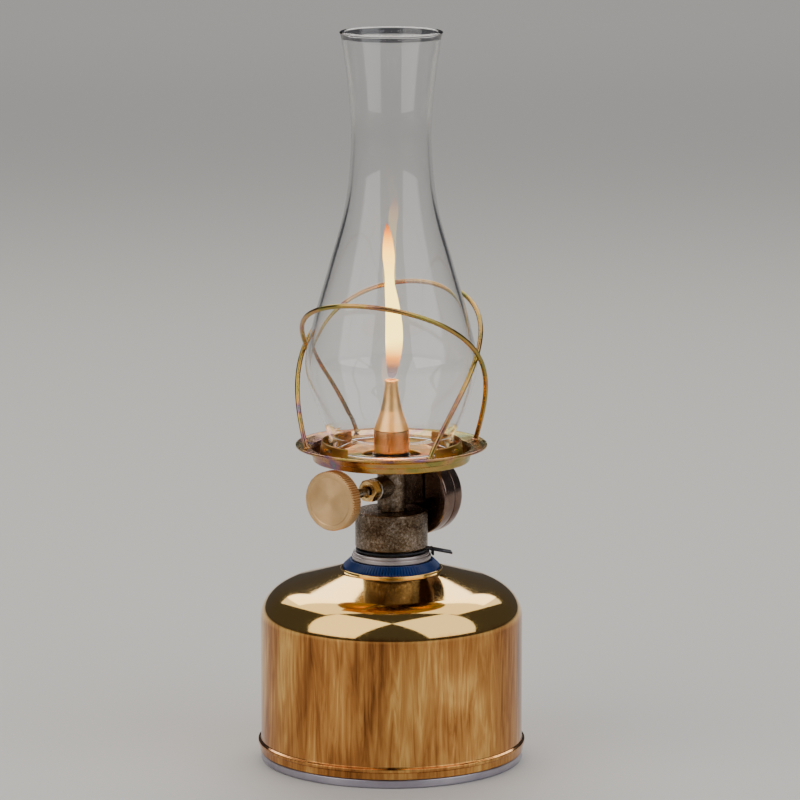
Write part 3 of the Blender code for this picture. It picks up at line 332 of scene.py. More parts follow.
def combined(base: bmesh.types.BMesh, tools: Sequence[tuple[str, bmesh.types.BMesh]]) -> bmesh.types.BMesh:
    """Join shapes to a base, or cut them out of it.

    Args:
        base: The shape to start from.
        tools: Boolean operations and the shapes they use, in order.

    Returns:
        The result as one closed shape.
    """
    body = temporary(base, "base")
    others = []
    for operation, shape in tools:
        tool = temporary(shape, "tool")
        others.append(tool)
        step = body.modifiers.new(operation, "BOOLEAN")
        step.operation = operation
        step.solver = "EXACT"
        step.object = tool
    result = bmesh.new()
    result.from_object(body, bpy.context.evaluated_depsgraph_get())
    for spare in (body, *others):
        bpy.data.objects.remove(spare, do_unlink=True)
    bmesh.ops.remove_doubles(result, verts=result.verts, dist=2e-6)
    return result


def piece(shape: bmesh.types.BMesh, name: str, body: Body, look: bpy.types.Material,
          replaced: Sequence[str] = (), crease: float = 32.0) -> bpy.types.Object:
    """Turn a shape into a finished piece of the lamp.

    Args:
        shape: The mesh, in the lamp's frame.
        name: Name of the piece.
        body: Body that the piece rides on.
        look: Its material.
        replaced: CAD nodes that the piece stands for.
        crease: Angle in degrees above which an edge stays sharp.

    Returns:
        The piece.
    """
    mesh = bpy.data.meshes.new(name)
    shape.to_mesh(mesh)
    shape.free()
    mesh.shade_smooth()
    mesh.set_sharp_from_angle(angle=math.radians(crease))
    mesh.materials.append(look)
    made = bpy.data.objects.new(name, mesh)
    bpy.context.scene.collection.objects.link(made)
    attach(made, body.value)
    if replaced:
        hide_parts(*replaced)
    LOG.info("%s: %d faces on %s", name, len(mesh.polygons), body.value)
    return made


# Finishes
class Graph:
    """A Principled material that is being wired."""

    def __init__(self, name: str, **numbers: float | Colour) -> None:
        """Start a material.

        Args:
            name: Name of the material.
            numbers: Values of the shader's sockets, with spaces written as underscores.
        """
        self.material = bpy.data.materials.new(name)
        self.material.use_nodes = True
        self.nodes = self.material.node_tree.nodes
        self.links = self.material.node_tree.links
        self.shader = self.nodes["Principled BSDF"]
        for socket, value in numbers.items():
            title = socket.replace("_", " ")
            self.shader.inputs[title].default_value = (*value, 1.0) if isinstance(value, tuple) else value

    def add(self, kind: str, inputs: dict | None = None, **settings: object) -> bpy.types.Node:
        """Add a node.

        Args:
            kind: Blender's name of the node type.
            inputs: Socket values, or sockets to link from.
            settings: Properties of the node.

        Returns:
            The node.
        """
        made = self.nodes.new(kind)
        for key, value in settings.items():
            setattr(made, key, value)
        for key, value in (inputs or {}).items():
            if isinstance(value, bpy.types.NodeSocket):
                self.links.new(value, made.inputs[key])
            else:
                made.inputs[key].default_value = value
        return made

    def place(self, scale: Colour = (1.0, 1.0, 1.0),
              frame_of: Matrix | None = None) -> bpy.types.NodeSocket:
        """Return Object coordinates, turned into a frame and scaled.

        Args:
            scale: Scale along the frame's axes.
            frame_of: Frame that the pattern follows, or None for the lamp's own.

        Returns:
            The vector socket.
        """
        vector = self.add("ShaderNodeTexCoord").outputs["Object"]
        if frame_of is not None:
            inverse = frame_of.inverted()
            vector = self.add("ShaderNodeMapping", {
                "Vector": vector, "Location": inverse.translation,
                "Rotation": inverse.to_euler()}).outputs[0]
        return self.add("ShaderNodeMapping", {"Vector": vector, "Scale": scale}).outputs[0]

    def noise(self, vector: bpy.types.NodeSocket, scale: float, detail: float = 3.0,
              roughness: float = 0.5, distortion: float = 0.0) -> bpy.types.NodeSocket:
        """Return the value of a noise texture."""
        return self.add("ShaderNodeTexNoise", {
            "Vector": vector, "Scale": scale, "Detail": detail, "Roughness": roughness,
            "Distortion": distortion}).outputs[0]

    def spread(self, value: bpy.types.NodeSocket, start: float, end: float,
               floor: float = 0.3, ceiling: float = 0.7) -> bpy.types.NodeSocket:
        """Return a value spread from one range onto another."""
        return self.add("ShaderNodeMapRange", {
            "Value": value, "From Min": floor, "From Max": ceiling,
            "To Min": start, "To Max": end}).outputs[0]

    def ramp(self, value: bpy.types.NodeSocket,
             stops: Sequence[tuple[float, Colour]]) -> bpy.types.NodeSocket:
        """Return a colour that follows a value through the stops."""
        node = self.add("ShaderNodeValToRGB", {0: value})
        elements = node.color_ramp.elements
        while len(elements) < len(stops):
            elements.new(0.5)
        for element, (position, colour) in zip(elements, stops):
            element.position = position
            element.color = (*colour, 1.0)
        return node.outputs[0]

    def mixed(self, first: bpy.types.NodeSocket, second: bpy.types.NodeSocket | float,
              share: bpy.types.NodeSocket | float) -> bpy.types.NodeSocket:
        """Return two values mixed, with the given share of the second."""
        return self.add("ShaderNodeMix", {0: share, 2: first, 3: second}).outputs[0]

    def feed(self, socket: str, value: bpy.types.NodeSocket) -> None:
        """Link a value to one of the shader's sockets."""
        self.links.new(value, self.shader.inputs[socket])

    def bump(self, height: bpy.types.NodeSocket, strength: float, distance: float) -> None:
        """Bump the surface by a height, on top of any bump it already has."""
        normal = self.shader.inputs["Normal"]
        inputs = {"Height": height, "Strength": strength, "Distance": distance}
        if normal.is_linked:
            inputs["Normal"] = normal.links[0].from_socket
        self.feed("Normal", self.add("ShaderNodeBump", inputs).outputs[0])

    def radius(self, vector: bpy.types.NodeSocket) -> bpy.types.NodeSocket:
        """Return the distance of a place from the pattern's Z axis."""
        flat = self.add("ShaderNodeVectorMath", {0: vector, 1: (1.0, 1.0, 0.0)}, operation="MULTIPLY")
        length = self.add("ShaderNodeVectorMath", {0: flat.outputs[0]}, operation="LENGTH")
        return length.outputs["Value"]

    def height(self) -> bpy.types.NodeSocket:
        """Return the height of a place above the table."""
        return self.add("ShaderNodeSeparateXYZ", {0: self.place()}).outputs[2]


@dataclass(frozen=True)
class PolishedBrass:
    """Spun brass, buffed to a mirror over a wall with waves and streaks that are partly tarnish and partly
    painted reflection of a dark room.

    Above the height clean_from the brass has no streaks, only faint clouds round clean_level.
    """

    clean_from: float
    bright: Colour = (0.95, 0.60, 0.18)
    gold: Colour = (0.86, 0.50, 0.15)
    tan: Colour = (0.62, 0.30, 0.085)
    middle: Colour = (0.42, 0.17, 0.045)
    dark: Colour = (0.15, 0.05, 0.015)
    clean_level: float = 0.73

    def material(self) -> bpy.types.Material:
        """Return the finish as a material."""
        graph = Graph("polished_brass", Metallic=1.0, Roughness=0.1)
        broad = graph.noise(graph.place((1, 1, 0.22)), 17.0, 2.0, 0.5, 1.0)
        wide = graph.noise(graph.place((1, 1, 0.30)), 48.0, 3.0, 0.5, 1.6)
        fine = graph.noise(graph.place((1, 1, 0.09)), 260.0, 4.0, 0.6, 2.2)
        # The streaks darken the base colour nearly to black: partly tarnish, partly painted reflection of
        # a dark room and a wooden table on the wall.
        tarnish_and_painted_reflection = graph.mixed(graph.mixed(broad, wide, 0.55), fine, 0.33)
        clean = graph.spread(graph.height(), 0.0, 1.0, self.clean_from, self.clean_from + 4.0 * MM)
        clouds = graph.noise(graph.place(), 30.0, 3.0)
        level = graph.spread(clouds, self.clean_level - 0.07, self.clean_level + 0.05)
        graph.feed("Base Color", graph.ramp(graph.mixed(tarnish_and_painted_reflection, level, clean), [
            (0.38, self.dark), (0.47, self.middle), (0.54, self.tan), (0.60, self.gold),
            (0.66, self.bright)]))
        graph.feed("Roughness", graph.spread(graph.noise(graph.place(), 900.0, 3.0), 0.05, 0.11))
        wave = graph.noise(graph.place((1, 1, 0.22)), 120.0, 3.0, 0.6)
        graph.bump(graph.mixed(wave, 0.5, clean), 0.3, 0.00025)
        graph.bump(graph.noise(graph.place((1, 1, 0.3)), 420.0, 2.0), 0.06, 0.00005)
        return graph.material


@dataclass(frozen=True)
class TurnedMetal:
    """Metal faced on a lathe, with fine rings round its own axis."""

    name: str
    colour: Colour
    shade: Colour
    axis: Matrix
    pitch: float = 0.16 * MM
    groove: float = 0.35
    gloss: Point = (0.28, 0.42)

    def material(self) -> bpy.types.Material:
        """Return the finish as a material."""
        graph = Graph(self.name, Metallic=1.0, Roughness=sum(self.gloss) / 2)
        vector = graph.place(frame_of=self.axis)
        radius = graph.radius(vector)
        rings = graph.add("ShaderNodeMath", {0: radius, 1: math.tau / self.pitch}, operation="MULTIPLY")
        wave = graph.add("ShaderNodeMath", {0: rings.outputs[0]}, operation="SINE").outputs[0]
        patches = graph.noise(vector, 160.0, 4.0)
        graph.feed("Base Color", graph.ramp(patches, [(0.3, self.shade), (0.65, self.colour)]))
        graph.feed("Roughness", graph.spread(graph.noise(vector, 700.0), *self.gloss))
        graph.bump(wave, self.groove, 0.00002)
        graph.bump(graph.noise(vector, 1500.0, 2.0), 0.1, 0.00003)
        return graph.material


@dataclass(frozen=True)
class CastNickel:
    """Rough casting under dark nickel, with brown and grey patches."""

    def material(self) -> bpy.types.Material:
        """Return the finish as a material."""
        graph = Graph("cast_nickel", Metallic=1.0, Roughness=0.35)
        vector = graph.place()
        patches = graph.noise(vector, 150.0, 4.0, 0.6)
        grain = graph.noise(vector, 1150.0, 4.0, 0.7)
        graph.feed("Base Color", graph.ramp(graph.mixed(patches, grain, 0.58), [
            (0.38, (0.045, 0.026, 0.014)), (0.47, (0.13, 0.085, 0.05)),
            (0.54, (0.21, 0.16, 0.11)), (0.62, (0.38, 0.31, 0.27))]))
        graph.feed("Roughness", graph.spread(graph.noise(vector, 900.0, 3.0), 0.16, 0.28))
        graph.bump(grain, 1.0, 0.0003)
        return graph.material


@dataclass(frozen=True)
class SmoothMetal:
    """Plated or rolled metal with clouded colour and faint pitting."""

    name: str
    colours: tuple[Colour, Colour, Colour]
    gloss: Point
    clouds: float = 150.0
    pitting: float = 0.15
    grain: Colour = (1.0, 1.0, 1.0)

    def material(self) -> bpy.types.Material:
        """Return the finish as a material."""
        graph = Graph(self.name, Metallic=1.0, Roughness=sum(self.gloss) / 2)
        vector = graph.place(self.grain)
        clouds = graph.noise(vector, self.clouds, 4.0, 0.55, 0.3)
        graph.feed("Base Color", graph.ramp(clouds, [
            (0.3, self.colours[0]), (0.5, self.colours[1]), (0.7, self.colours[2])]))
        graph.feed("Roughness", graph.spread(graph.noise(vector, 600.0, 3.0), *self.gloss))
        graph.bump(graph.noise(vector, 1300.0, 3.0), self.pitting, 0.00005)
        return graph.material


@dataclass(frozen=True)
class YellowZinc:
    """Yellow-passivated zinc, whose film drifts from gold to rose and green."""

    name: str = "yellow_zinc"
    drift: float = 55.0
    gloss: Point = (0.16, 0.30)
    depth: float = 1.0

    def material(self) -> bpy.types.Material:
        """Return the finish as a material."""
        graph = Graph(self.name, Metallic=1.0, Roughness=0.2)
        vector = graph.place((1, 1, 1.6))
        film = graph.noise(vector, self.drift, 3.0, 0.5, 1.2)
        colour = graph.ramp(film, [
            (0.28, (0.15, 0.23, 0.09)), (0.38, (0.33, 0.27, 0.07)), (0.50, (0.52, 0.31, 0.10)),
            (0.58, (0.44, 0.23, 0.12)), (0.64, (0.34, 0.16, 0.16)), (0.70, (0.22, 0.14, 0.24)),
            (0.78, (0.17, 0.27, 0.15))])
        graph.feed("Base Color", graph.add("ShaderNodeGamma", {0: colour, 1: self.depth}).outputs[0])
        graph.feed("Roughness", graph.spread(graph.noise(vector, 500.0), *self.gloss))
        graph.bump(graph.noise(vector, 900.0, 3.0), 0.15, 0.00005)
        return graph.material


@dataclass(frozen=True)
class Moulded:
    """Moulded plastic or rubber with a fine skin."""

    name: str
    colour: Colour
    shade: Colour
    gloss: Point

    def material(self) -> bpy.types.Material:
        """Return the finish as a material."""
        graph = Graph(self.name, Roughness=sum(self.gloss) / 2)
        vector = graph.place()
        clouds = graph.noise(vector, 120.0, 3.0)
        graph.feed("Base Color", graph.ramp(clouds, [(0.3, self.shade), (0.7, self.colour)]))
        graph.feed("Roughness", graph.spread(graph.noise(vector, 400.0), *self.gloss))
        graph.bump(graph.noise(vector, 2200.0, 2.0), 0.12, 0.00004)
        return graph.material


@dataclass(frozen=True)
class ClearGlass:
    """Clear blown glass with faint ripples."""

    def material(self) -> bpy.types.Material:
        """Return the finish as a material."""
        graph = Graph("clear_glass", Base_Color=(1.0, 1.0, 1.0), Roughness=0.0, IOR=1.47,
                      Transmission_Weight=1.0)
        graph.bump(graph.noise(graph.place((1, 1, 0.35)), 45.0, 2.0), 0.04, 0.0004)
        return graph.material


@dataclass(frozen=True)
class FlameLight:
    """Glow of the flame, blue and thin at its foot and bright above."""

    foot: float
    tip: float

    def material(self) -> bpy.types.Material:
        """Return the finish as a material."""
        graph = Graph("flame_glow", Base_Color=(0.0, 0.0, 0.0), Roughness=1.0, Emission_Strength=5.0)
        share = graph.spread(graph.height(), 0.0, 1.0, self.foot, self.tip)
        graph.feed("Emission Color", graph.ramp(share, [
            (0.0, (0.010, 0.014, 0.07)), (0.07, (0.05, 0.018, 0.02)), (0.14, (0.50, 0.15, 0.012)),
            (0.26, (1.0, 0.74, 0.16)), (0.62, (1.0, 0.72, 0.14)), (0.82, (1.0, 0.50, 0.06)),
            (0.94, (0.55, 0.13, 0.008)), (1.0, (0.16, 0.025, 0.001))]))
        graph.feed("Alpha", graph.ramp(share, [
            (0.0, (0.25,) * 3), (0.14, (0.8,) * 3), (0.9, (0.95,) * 3), (1.0, (0.5,) * 3)]))
        return graph.material


# Gas cartridge
@dataclass
class Cartridge:
    """What shows of the cartridge: its bottom seam, its base and its rolled rim."""

    seam_height: float = 3.0 * MM
    seam_width: float = 2.5 * MM
    skirt_height: float = 5.8 * MM
    wall: float = 0.5 * MM
    slack: float = 0.3 * MM
    dome: float = 9.0 * MM
    sheet: float = 0.6 * MM
    curl_height: float = 2.8 * MM
    curl_width: float = 1.65 * MM
    stud_wall: float = 1.5 * MM

    def build(self) -> None:
        """Build and dress the pieces."""
        self.base()
        self.rim()

    def base(self) -> None:
        """Build the concave base with its seam."""
        seam = high("cartridge_base").x
        plug = high("cartridge_shell").x - self.wall - self.slack
        top = self.seam_height
        skirt = self.skirt_height
        dish = [(plug - 1.6 * MM, skirt - 1.0 * MM), (0.86 * plug, skirt),
                (0.5 * plug, self.dome - 0.8 * MM), (0.0, self.dome)]
        outside = flowing(dish, 8)
        outline = Outline().through((radius, height + self.sheet) for radius, height in outside[::-1])
        outline.to(plug, skirt, 0.4 * MM).to(plug, top)
        outline.to(seam, top, 0.5 * MM).to(seam, 0.0, 0.8 * MM)
        inner = seam - self.seam_width
        outline.to(inner, 0.0, 0.6 * MM).to(inner, top + 1.0 * MM, 0.6 * MM)
        outline.through(outside)
        paints = ((0.36, 0.34, 0.42), (0.46, 0.44, 0.52), (0.55, 0.53, 0.60))
        look = SmoothMetal("painted_seam", paints, (0.28, 0.42), clouds=60.0).material()
        piece(spun(outline.points(ring=False), ring=False, detail=Detail.LARGE), "bottom_seam",
              Body.CARTRIDGE, look, ["cartridge_base"])

    def rim(self) -> None:
        """Build the valve cup with its rolled rim and threaded stud."""
        rim = high("cartridge_valve_cup").x
        top = high("cartridge_valve_cup").z
        floor = low("cartridge_valve_cup").z
        bottom = top - self.curl_height
        middle = (top + bottom) / 2
        cup = rim - self.curl_width
        inner = cup - self.sheet
        bore = high("cartridge_gasket").x - self.stud_wall
        stud = low("cartridge_gasket").z - self.slack
        outline = Outline().to(inner, top, 0.5 * MM).to(rim - 0.45 * MM, top, 0.7 * MM)
        outline.to(rim - 0.4 * MM, middle + 0.55 * MM, 0.35 * MM)
        outline.to(rim - 0.65 * MM, middle + 0.4 * MM, 0.12 * MM)
        outline.to(rim, middle + 0.25 * MM, 0.6 * MM).to(rim, bottom + 0.1 * MM, 0.8 * MM)
        outline.to(rim - 0.6 * MM, bottom, 0.3 * MM)
        outline.to(cup, bottom, 0.2 * MM).to(cup, floor, 0.5 * MM).to(bore, floor)
        stud_outside = bore + self.stud_wall
        outline.to(bore, stud, 0.2 * MM).to(stud_outside, stud, 0.3 * MM)
        outline.to(stud_outside, floor + self.sheet, 0.3 * MM).to(inner, floor + self.sheet, 0.4 * MM)
        tints = ((0.40, 0.35, 0.34), (0.50, 0.45, 0.45), (0.58, 0.54, 0.55))
        look = SmoothMetal("tinned_steel", tints, (0.3, 0.4), clouds=60.0, pitting=0.02).material()
        piece(spun(outline.points(), detail=Detail.LARGE), "rolled_rim", Body.CARTRIDGE, look,
              ["cartridge_valve_cup"])


# Cover, centring ring and tabbed washer
@dataclass
class CoverSet:
    """Brass cover and the ribbed blue ring in its neck."""

    sheet: float = 0.5 * MM
    shoulder_width: float = 16.0 * MM
    shoulder_rise: float = 12.7 * MM
    shoulder_drop: float = 17.7 * MM
    bead_z: float = 6.4 * MM
    bead_overhang: float = 1.05 * MM
    neck_height: float = 0.9 * MM
    neck_gap: float = 0.8 * MM
    ring_skirt: float = 2.5 * MM
    rib_start: float = 0.85 * MM
    rib_fade: float = 0.5 * MM
    rib_depth: float = 0.8 * MM
    ribs: int = 96

    def build(self) -> None:
        """Build and dress the pieces."""
        self.cover()
        self.ring()

    def cover(self) -> None:
        """Build the spun cover, from its rolled neck to its hem."""
        top = high("canister_cover").z
        hem_z = low("canister_cover").z
        wall = high("canister_cover").x - self.bead_overhang
        neck = high("cover_grommet").x + self.neck_gap
        neck_z = top - self.neck_height
        shoulder_z = top - self.shoulder_drop
        shoulder = arc((wall - self.shoulder_width, shoulder_z), (self.shoulder_width, self.shoulder_rise),
                       75.0, 0.0, 26)
        outline = Outline().to(neck - 0.45 * MM, top - 0.1 * MM).to(neck - 0.1 * MM, top, 0.3 * MM)
        outline.to(neck + 0.25 * MM, top - 0.35 * MM, 0.3 * MM).to(neck, neck_z + 0.25 * MM, 0.25 * MM)
        outline.to(neck + 0.5 * MM, neck_z, 0.5 * MM)
        outline.to(neck + 1.8 * MM, neck_z - 0.15 * MM, 1.2 * MM).through(shoulder)
        bead = wall + self.bead_overhang
        bead_z = self.bead_z
        outline.to(wall, bead_z + 1.0 * MM, 0.35 * MM).to(wall + 0.5 * MM, bead_z + 0.75 * MM, 0.2 * MM)
        outline.to(bead, bead_z + 0.5 * MM, 0.3 * MM).to(bead, bead_z - 0.5 * MM, 0.3 * MM)
        outline.to(wall + 0.4 * MM, bead_z - 0.9 * MM, 0.25 * MM)
        outline.to(wall + 0.4 * MM, hem_z)
        outside = outline.points(ring=False)
        inside = inset(outside, self.sheet)
        piece(spun(outside + inside[::-1], detail=Detail.LARGE), "brass_cover", Body.COVER,
              PolishedBrass(shoulder_z).material(), ["canister_cover"])

    def ring(self) -> None:
        """Build the centring ring with its ribbed edge."""
        outer = high("cover_grommet").x
        foot = low("cover_grommet").z
        top = high("cover_grommet").z
        edge = foot + self.ring_skirt
        rim = high("cartridge_valve_cup").x
        skirt = outer - 1.2 * MM
        outline = Outline().to(rim + 0.3 * MM, top, 0.1 * MM).to(rim + 0.9 * MM, top, 0.2 * MM)
        outline.to(outer, edge + 0.15 * MM, 0.3 * MM).to(outer, foot, 0.2 * MM).to(skirt, foot, 0.2 * MM)
        outline.to(skirt, edge - 0.7 * MM).to(rim - 0.25 * MM, edge - 0.7 * MM)
        outline.to(rim - 0.25 * MM, top - 0.4 * MM).to(rim + 0.3 * MM, top - 0.4 * MM)
        shape = spun(outline.points(), detail=Detail.RIBBED)
        for edge_run in list(shape.edges):
            radii = sorted(vert.co.xy.length for vert in edge_run.verts)
            if radii[0] > rim + 0.5 * MM and radii[1] > radii[0] + 0.8 * MM:
                bmesh.ops.subdivide_edges(shape, edges=[edge_run], cuts=1)
        start = rim + self.rib_start
        for vert in shape.verts:
            radius = vert.co.xy.length
            if radius > start and vert.co.z > edge - 0.05 * MM:
                angle = math.atan2(vert.co.y, vert.co.x)
                fade = min((radius - start) / self.rib_fade, 1.0)
                depth = self.rib_depth * fade * (0.5 + 0.5 * math.cos(angle * self.ribs))
                vert.co.z -= depth
                vert.co.xy *= (radius - 0.5 * depth) / radius
        look = Moulded("blue_plastic", (0.002, 0.036, 0.20), (0.001, 0.020, 0.11), (0.3, 0.45)).material()
        piece(shape, "ribbed_ring", Body.COVER, look, ["cover_grommet"], crease=25.0)


@dataclass
class TabWasher:
    """Washer round the body's spigot, with a bent tab."""

    azimuth: float = 8.0
    droop: float = 12.0
    width: float = 4.5 * MM
    sheet: float = 0.7 * MM
    leg: float = 2.6 * MM
    rim: float = 12.55 * MM
    band: float = 1.35 * MM
    tip: float = 21.5 * MM
    lift: float = 0.45 * MM

    def build(self) -> None:
        """Build and dress the washer."""
        # The washer is coloured near-black as painted shade: it stands for the dark gap between the body
        # and the rolled rim.
        blacks = ((0.018, 0.018, 0.022), (0.035, 0.035, 0.042), (0.07, 0.07, 0.085))
        steel = SmoothMetal("gap_shade_black_steel", blacks, (0.3, 0.45)).material()
        bottom = high("cartridge_valve_cup").z + self.lift
        rim = self.rim
        hole = rim - self.band
        washer = spun(Outline().to(hole, bottom, 0.1 * MM).to(hole, bottom + self.sheet, 0.15 * MM)
                      .to(rim, bottom + self.sheet, 0.2 * MM).to(rim, bottom, 0.1 * MM).points()[::-1])
        inner = rim - 0.6 * MM
        reach = self.tip - inner
        place = side_frame(heading(self.azimuth), bottom)
        bend = Matrix.Rotation(math.radians(self.droop), 4, "X")
        arm = slab(Vector((self.width, self.sheet, reach)), Vector((0, self.sheet / 2, reach / 2)),
                   place @ Matrix.Translation((0, 0, inner)) @ bend, 0.2 * MM)
        face = high("cartridge_valve_cup").x + 0.3 * MM
        leg = slab(Vector((self.width, self.leg, self.sheet)),
                   Vector((0, (self.sheet - self.leg) / 2, face + self.sheet / 2)), place, 0.15 * MM)
        shape = combined(washer, [("UNION", arm), ("UNION", leg)])
        piece(shape, "tabbed_washer", Body.HEAD, steel, ["tab_washer"])


# Valve body, knob and gland
@dataclass
class ValveBody:
    """Cast body with its column, gland boss and regulator lug."""

    radius: float = 12.75 * MM
    height: float = 13.1 * MM
    column: float = 5.0 * MM
    stud: float = 4.4 * MM
    spigot_radius: float = 10.9 * MM
    nose_radius: float = 5.45 * MM
    port_radius: float = 2.4 * MM
    boss: float = 3.9 * MM
    boss_face: float = 9.8 * MM
    lug_half_width: float = 4.7 * MM
    lug_lift: float = 1.7 * MM
    lug_drop: float = 1.2 * MM

    def build(self) -> None:
        """Build and dress the body."""
        top = high("valve_body").z
        nose = low("valve_body").z
        column_top = top - STUD_LENGTH
        body_top = column_top - COLUMN_LENGTH
        bottom = body_top - self.height
        spigot_bottom = high("cartridge_gasket").z + 0.3 * MM
        outline = Outline().to(0.0, top).to(self.stud, top, 0.4 * MM).to(self.stud, column_top, 0.1 * MM)
        outline.to(self.column, column_top, 0.2 * MM).to(self.column, body_top, 0.45 * MM)
        outline.to(self.radius, body_top, 1.1 * MM).to(self.radius, bottom, 0.7 * MM)
        outline.to(self.spigot_radius, bottom, 0.2 * MM).to(self.spigot_radius, spigot_bottom, 0.3 * MM)
        outline.to(self.nose_radius, spigot_bottom, 0.1 * MM).to(self.nose_radius, nose, 0.4 * MM)
        outline.to(0.0, nose)
        core = spun(outline.points(ring=False), ring=False)
        knob = joint("knob_turn")
        knob_frame = side_frame(Vector(knob["axis"]), knob["pos_m"][2])
        boss = cylinder(self.boss, 0.0, self.boss_face, knob_frame, 72)
        lug_bottom = body_top + self.lug_lift
        lug_top = column_top - self.lug_drop
        outward = Vector(joint("regulator_stroke")["axis"])
        reach = self.radius + 0.2 * MM
        lug = slab(Vector((2 * self.lug_half_width, lug_top - lug_bottom, reach)),
                   Vector((0, (lug_top + lug_bottom) / 2, reach / 2)), side_frame(outward, 0.0), 0.5 * MM)
        port_frame = side_frame(outward, body_top + PORT_LIFT)
        port = cylinder(self.port_radius, reach - 2.0 * MM, reach + 2.0 * MM, port_frame, 48)
        shape = combined(core, [("UNION", boss), ("UNION", lug), ("UNION", port)])
        piece(shape, "cast_body", Body.HEAD, CastNickel().material(), ["valve_body"])


@dataclass
class Control:
    """Knob, spindle, grub screw and gland."""

    knob_radius: float = 10.36 * MM
    thickness: float = 4.9 * MM
    hub_radius: float = 3.5 * MM
    hub_length: float = 3.0 * MM
    face: float = 36.6 * MM
    spindle: float = 1.6 * MM
    teeth: int = 72
    tooth_depth: float = 0.6 * MM
    nut_start: float = 11.2 * MM
    nut_end: float = 14.7 * MM
    nut_flats: float = 7.0 * MM
    washer_radius: float = 4.0 * MM
    slack: float = 0.3 * MM
    tip: float = 2.0 * MM

    def build(self, steel: bpy.types.Material) -> None:
        """Build and dress the pieces.

        Args:
            steel: Material of the spindle and the washer.
        """
        turn = joint("knob_turn")
        place = side_frame(Vector(turn["axis"]), turn["pos_m"][2])
        self.knob(place)
        self.shaft(place, steel)
        self.gland(place, steel)

    def knob(self, place: Matrix) -> None:
        """Build the knob, with straight knurling between two chamfers."""
        back = self.face - self.thickness
        rim = self.knob_radius
        bore = self.spindle + self.slack
        face = self.face
        hub_end = back - self.hub_length
        chamfer = 0.45 * MM
        outline = Outline().to(0.0, face - 0.12 * MM).to(rim - 2.1 * MM, face - 0.12 * MM, 0.1 * MM)
        outline.to(rim - 1.9 * MM, face, 0.1 * MM).to(rim - chamfer, face, 0.12 * MM)
        outline.to(rim, face - chamfer).to(rim, back + chamfer).to(rim - chamfer, back, 0.12 * MM)
        outline.to(self.hub_radius, back, 0.4 * MM).to(self.hub_radius, hub_end, 0.3 * MM)
        outline.to(bore, hub_end, 0.15 * MM).to(bore, face - 1.2 * MM).to(0.0, face - 1.2 * MM)
        shape = spun(outline.points(ring=False), ring=False, detail=Detail.RIBBED)
        for vert in shape.verts:
            radius = vert.co.xy.length
            if radius > rim - 0.02 * MM:
                angle = math.atan2(vert.co.y, vert.co.x)
                depth = self.tooth_depth * (1.0 - abs(math.cos(self.teeth * angle / 2)))
                vert.co.xy *= (radius - depth) / radius
        bmesh.ops.transform(shape, matrix=place, verts=shape.verts)
        look = TurnedMetal("knob_brass", (0.80, 0.52, 0.25), (0.66, 0.40, 0.18), place,
                           groove=0.4).material()
        piece(shape, "knurled_knob", Body.KNOB, look, ["knob"], crease=25.0)

    def shaft(self, place: Matrix, steel: bpy.types.Material) -> None:
        """Build the spindle with a groove near the gland and a needle tip."""
        end = self.face - 1.6 * MM
        outline = Outline().to(0.0, end).to(self.spindle, end, 0.2 * MM)
        for depth, lift in ((0.0, 1.4), (0.2, 1.2), (0.2, 0.8), (0.0, 0.6)):
            outline.to(self.spindle - depth * MM, self.nut_end + lift * MM, 0.05 * MM)
        outline.to(self.spindle, self.tip + 2.0 * MM, 0.1 * MM).to(0.4 * MM, self.tip, 0.1 * MM)
        outline.to(0.0, self.tip)
        look = TurnedMetal("spindle_steel", (0.40, 0.33, 0.26), (0.22, 0.17, 0.13), place,
                           gloss=(0.2, 0.35)).material()
        shape = spun(outline.points(ring=False), ring=False, detail=Detail.SMALL, place=place)
        piece(shape, "control_spindle", Body.KNOB, look, ["spindle"])
        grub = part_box("knob_grub_screw")
        middle = (Vector(grub[0]) + Vector(grub[1])) / 2
        down = Matrix.Translation(middle) @ Matrix.Rotation(math.pi, 4, "X")
        screw = cylinder(0.85 * MM, -0.75 * MM, 0.75 * MM, down, 40)
        socket = cylinder(0.45 * MM, 0.1 * MM, 1.2 * MM, down, 6)
        piece(combined(screw, [("DIFFERENCE", socket)]), "grub_screw", Body.KNOB, steel,
              ["knob_grub_screw"])

    def gland(self, place: Matrix, steel: bpy.types.Material) -> None:
        """Build the chamfered gland nut and its washer."""
        start, end = self.nut_start, self.nut_end
        corner = self.nut_flats / 2 / math.cos(HALF_CORNER)
        on_corner = place @ Matrix.Rotation(HALF_CORNER, 4, "Z")
        shoulder = corner - 0.55 * MM
        limit = Outline().to(0.0, end).to(shoulder, end).to(corner, end - 0.35 * MM)
        limit.to(corner, start + 0.35 * MM).to(shoulder, start).to(0.0, start)
        barrel = spun(limit.points(ring=False), ring=False, detail=Detail.SMALL, place=place)
        mouth = cylinder(self.spindle + 0.7 * MM, start + 0.8 * MM, end + 1.0 * MM, place, 48)
        bore = cylinder(self.spindle + self.slack, start - 1.0 * MM, end, place, 48)
        nut = combined(cylinder(corner, start, end, on_corner, 6), [
            ("INTERSECT", barrel), ("DIFFERENCE", mouth), ("DIFFERENCE", bore)])
        look = TurnedMetal("nut_brass", (0.86, 0.62, 0.28), (0.68, 0.42, 0.16), place,
                           gloss=(0.16, 0.3)).material()
        piece(nut, "gland_hex_nut", Body.HEAD, look, ["gland_nut"], crease=20.0)
        back = start - 1.1 * MM
        front = back + 0.8 * MM
        outer = self.washer_radius
        inner = outer - 1.0 * MM
        outline = Outline().to(inner, front).to(outer, front, 0.25 * MM).to(outer, back, 0.25 * MM)
        outline.to(inner, back)
        piece(spun(outline.points(), detail=Detail.SMALL, place=place), "gland_ring", Body.HEAD, steel,
              ["gland_washer"])


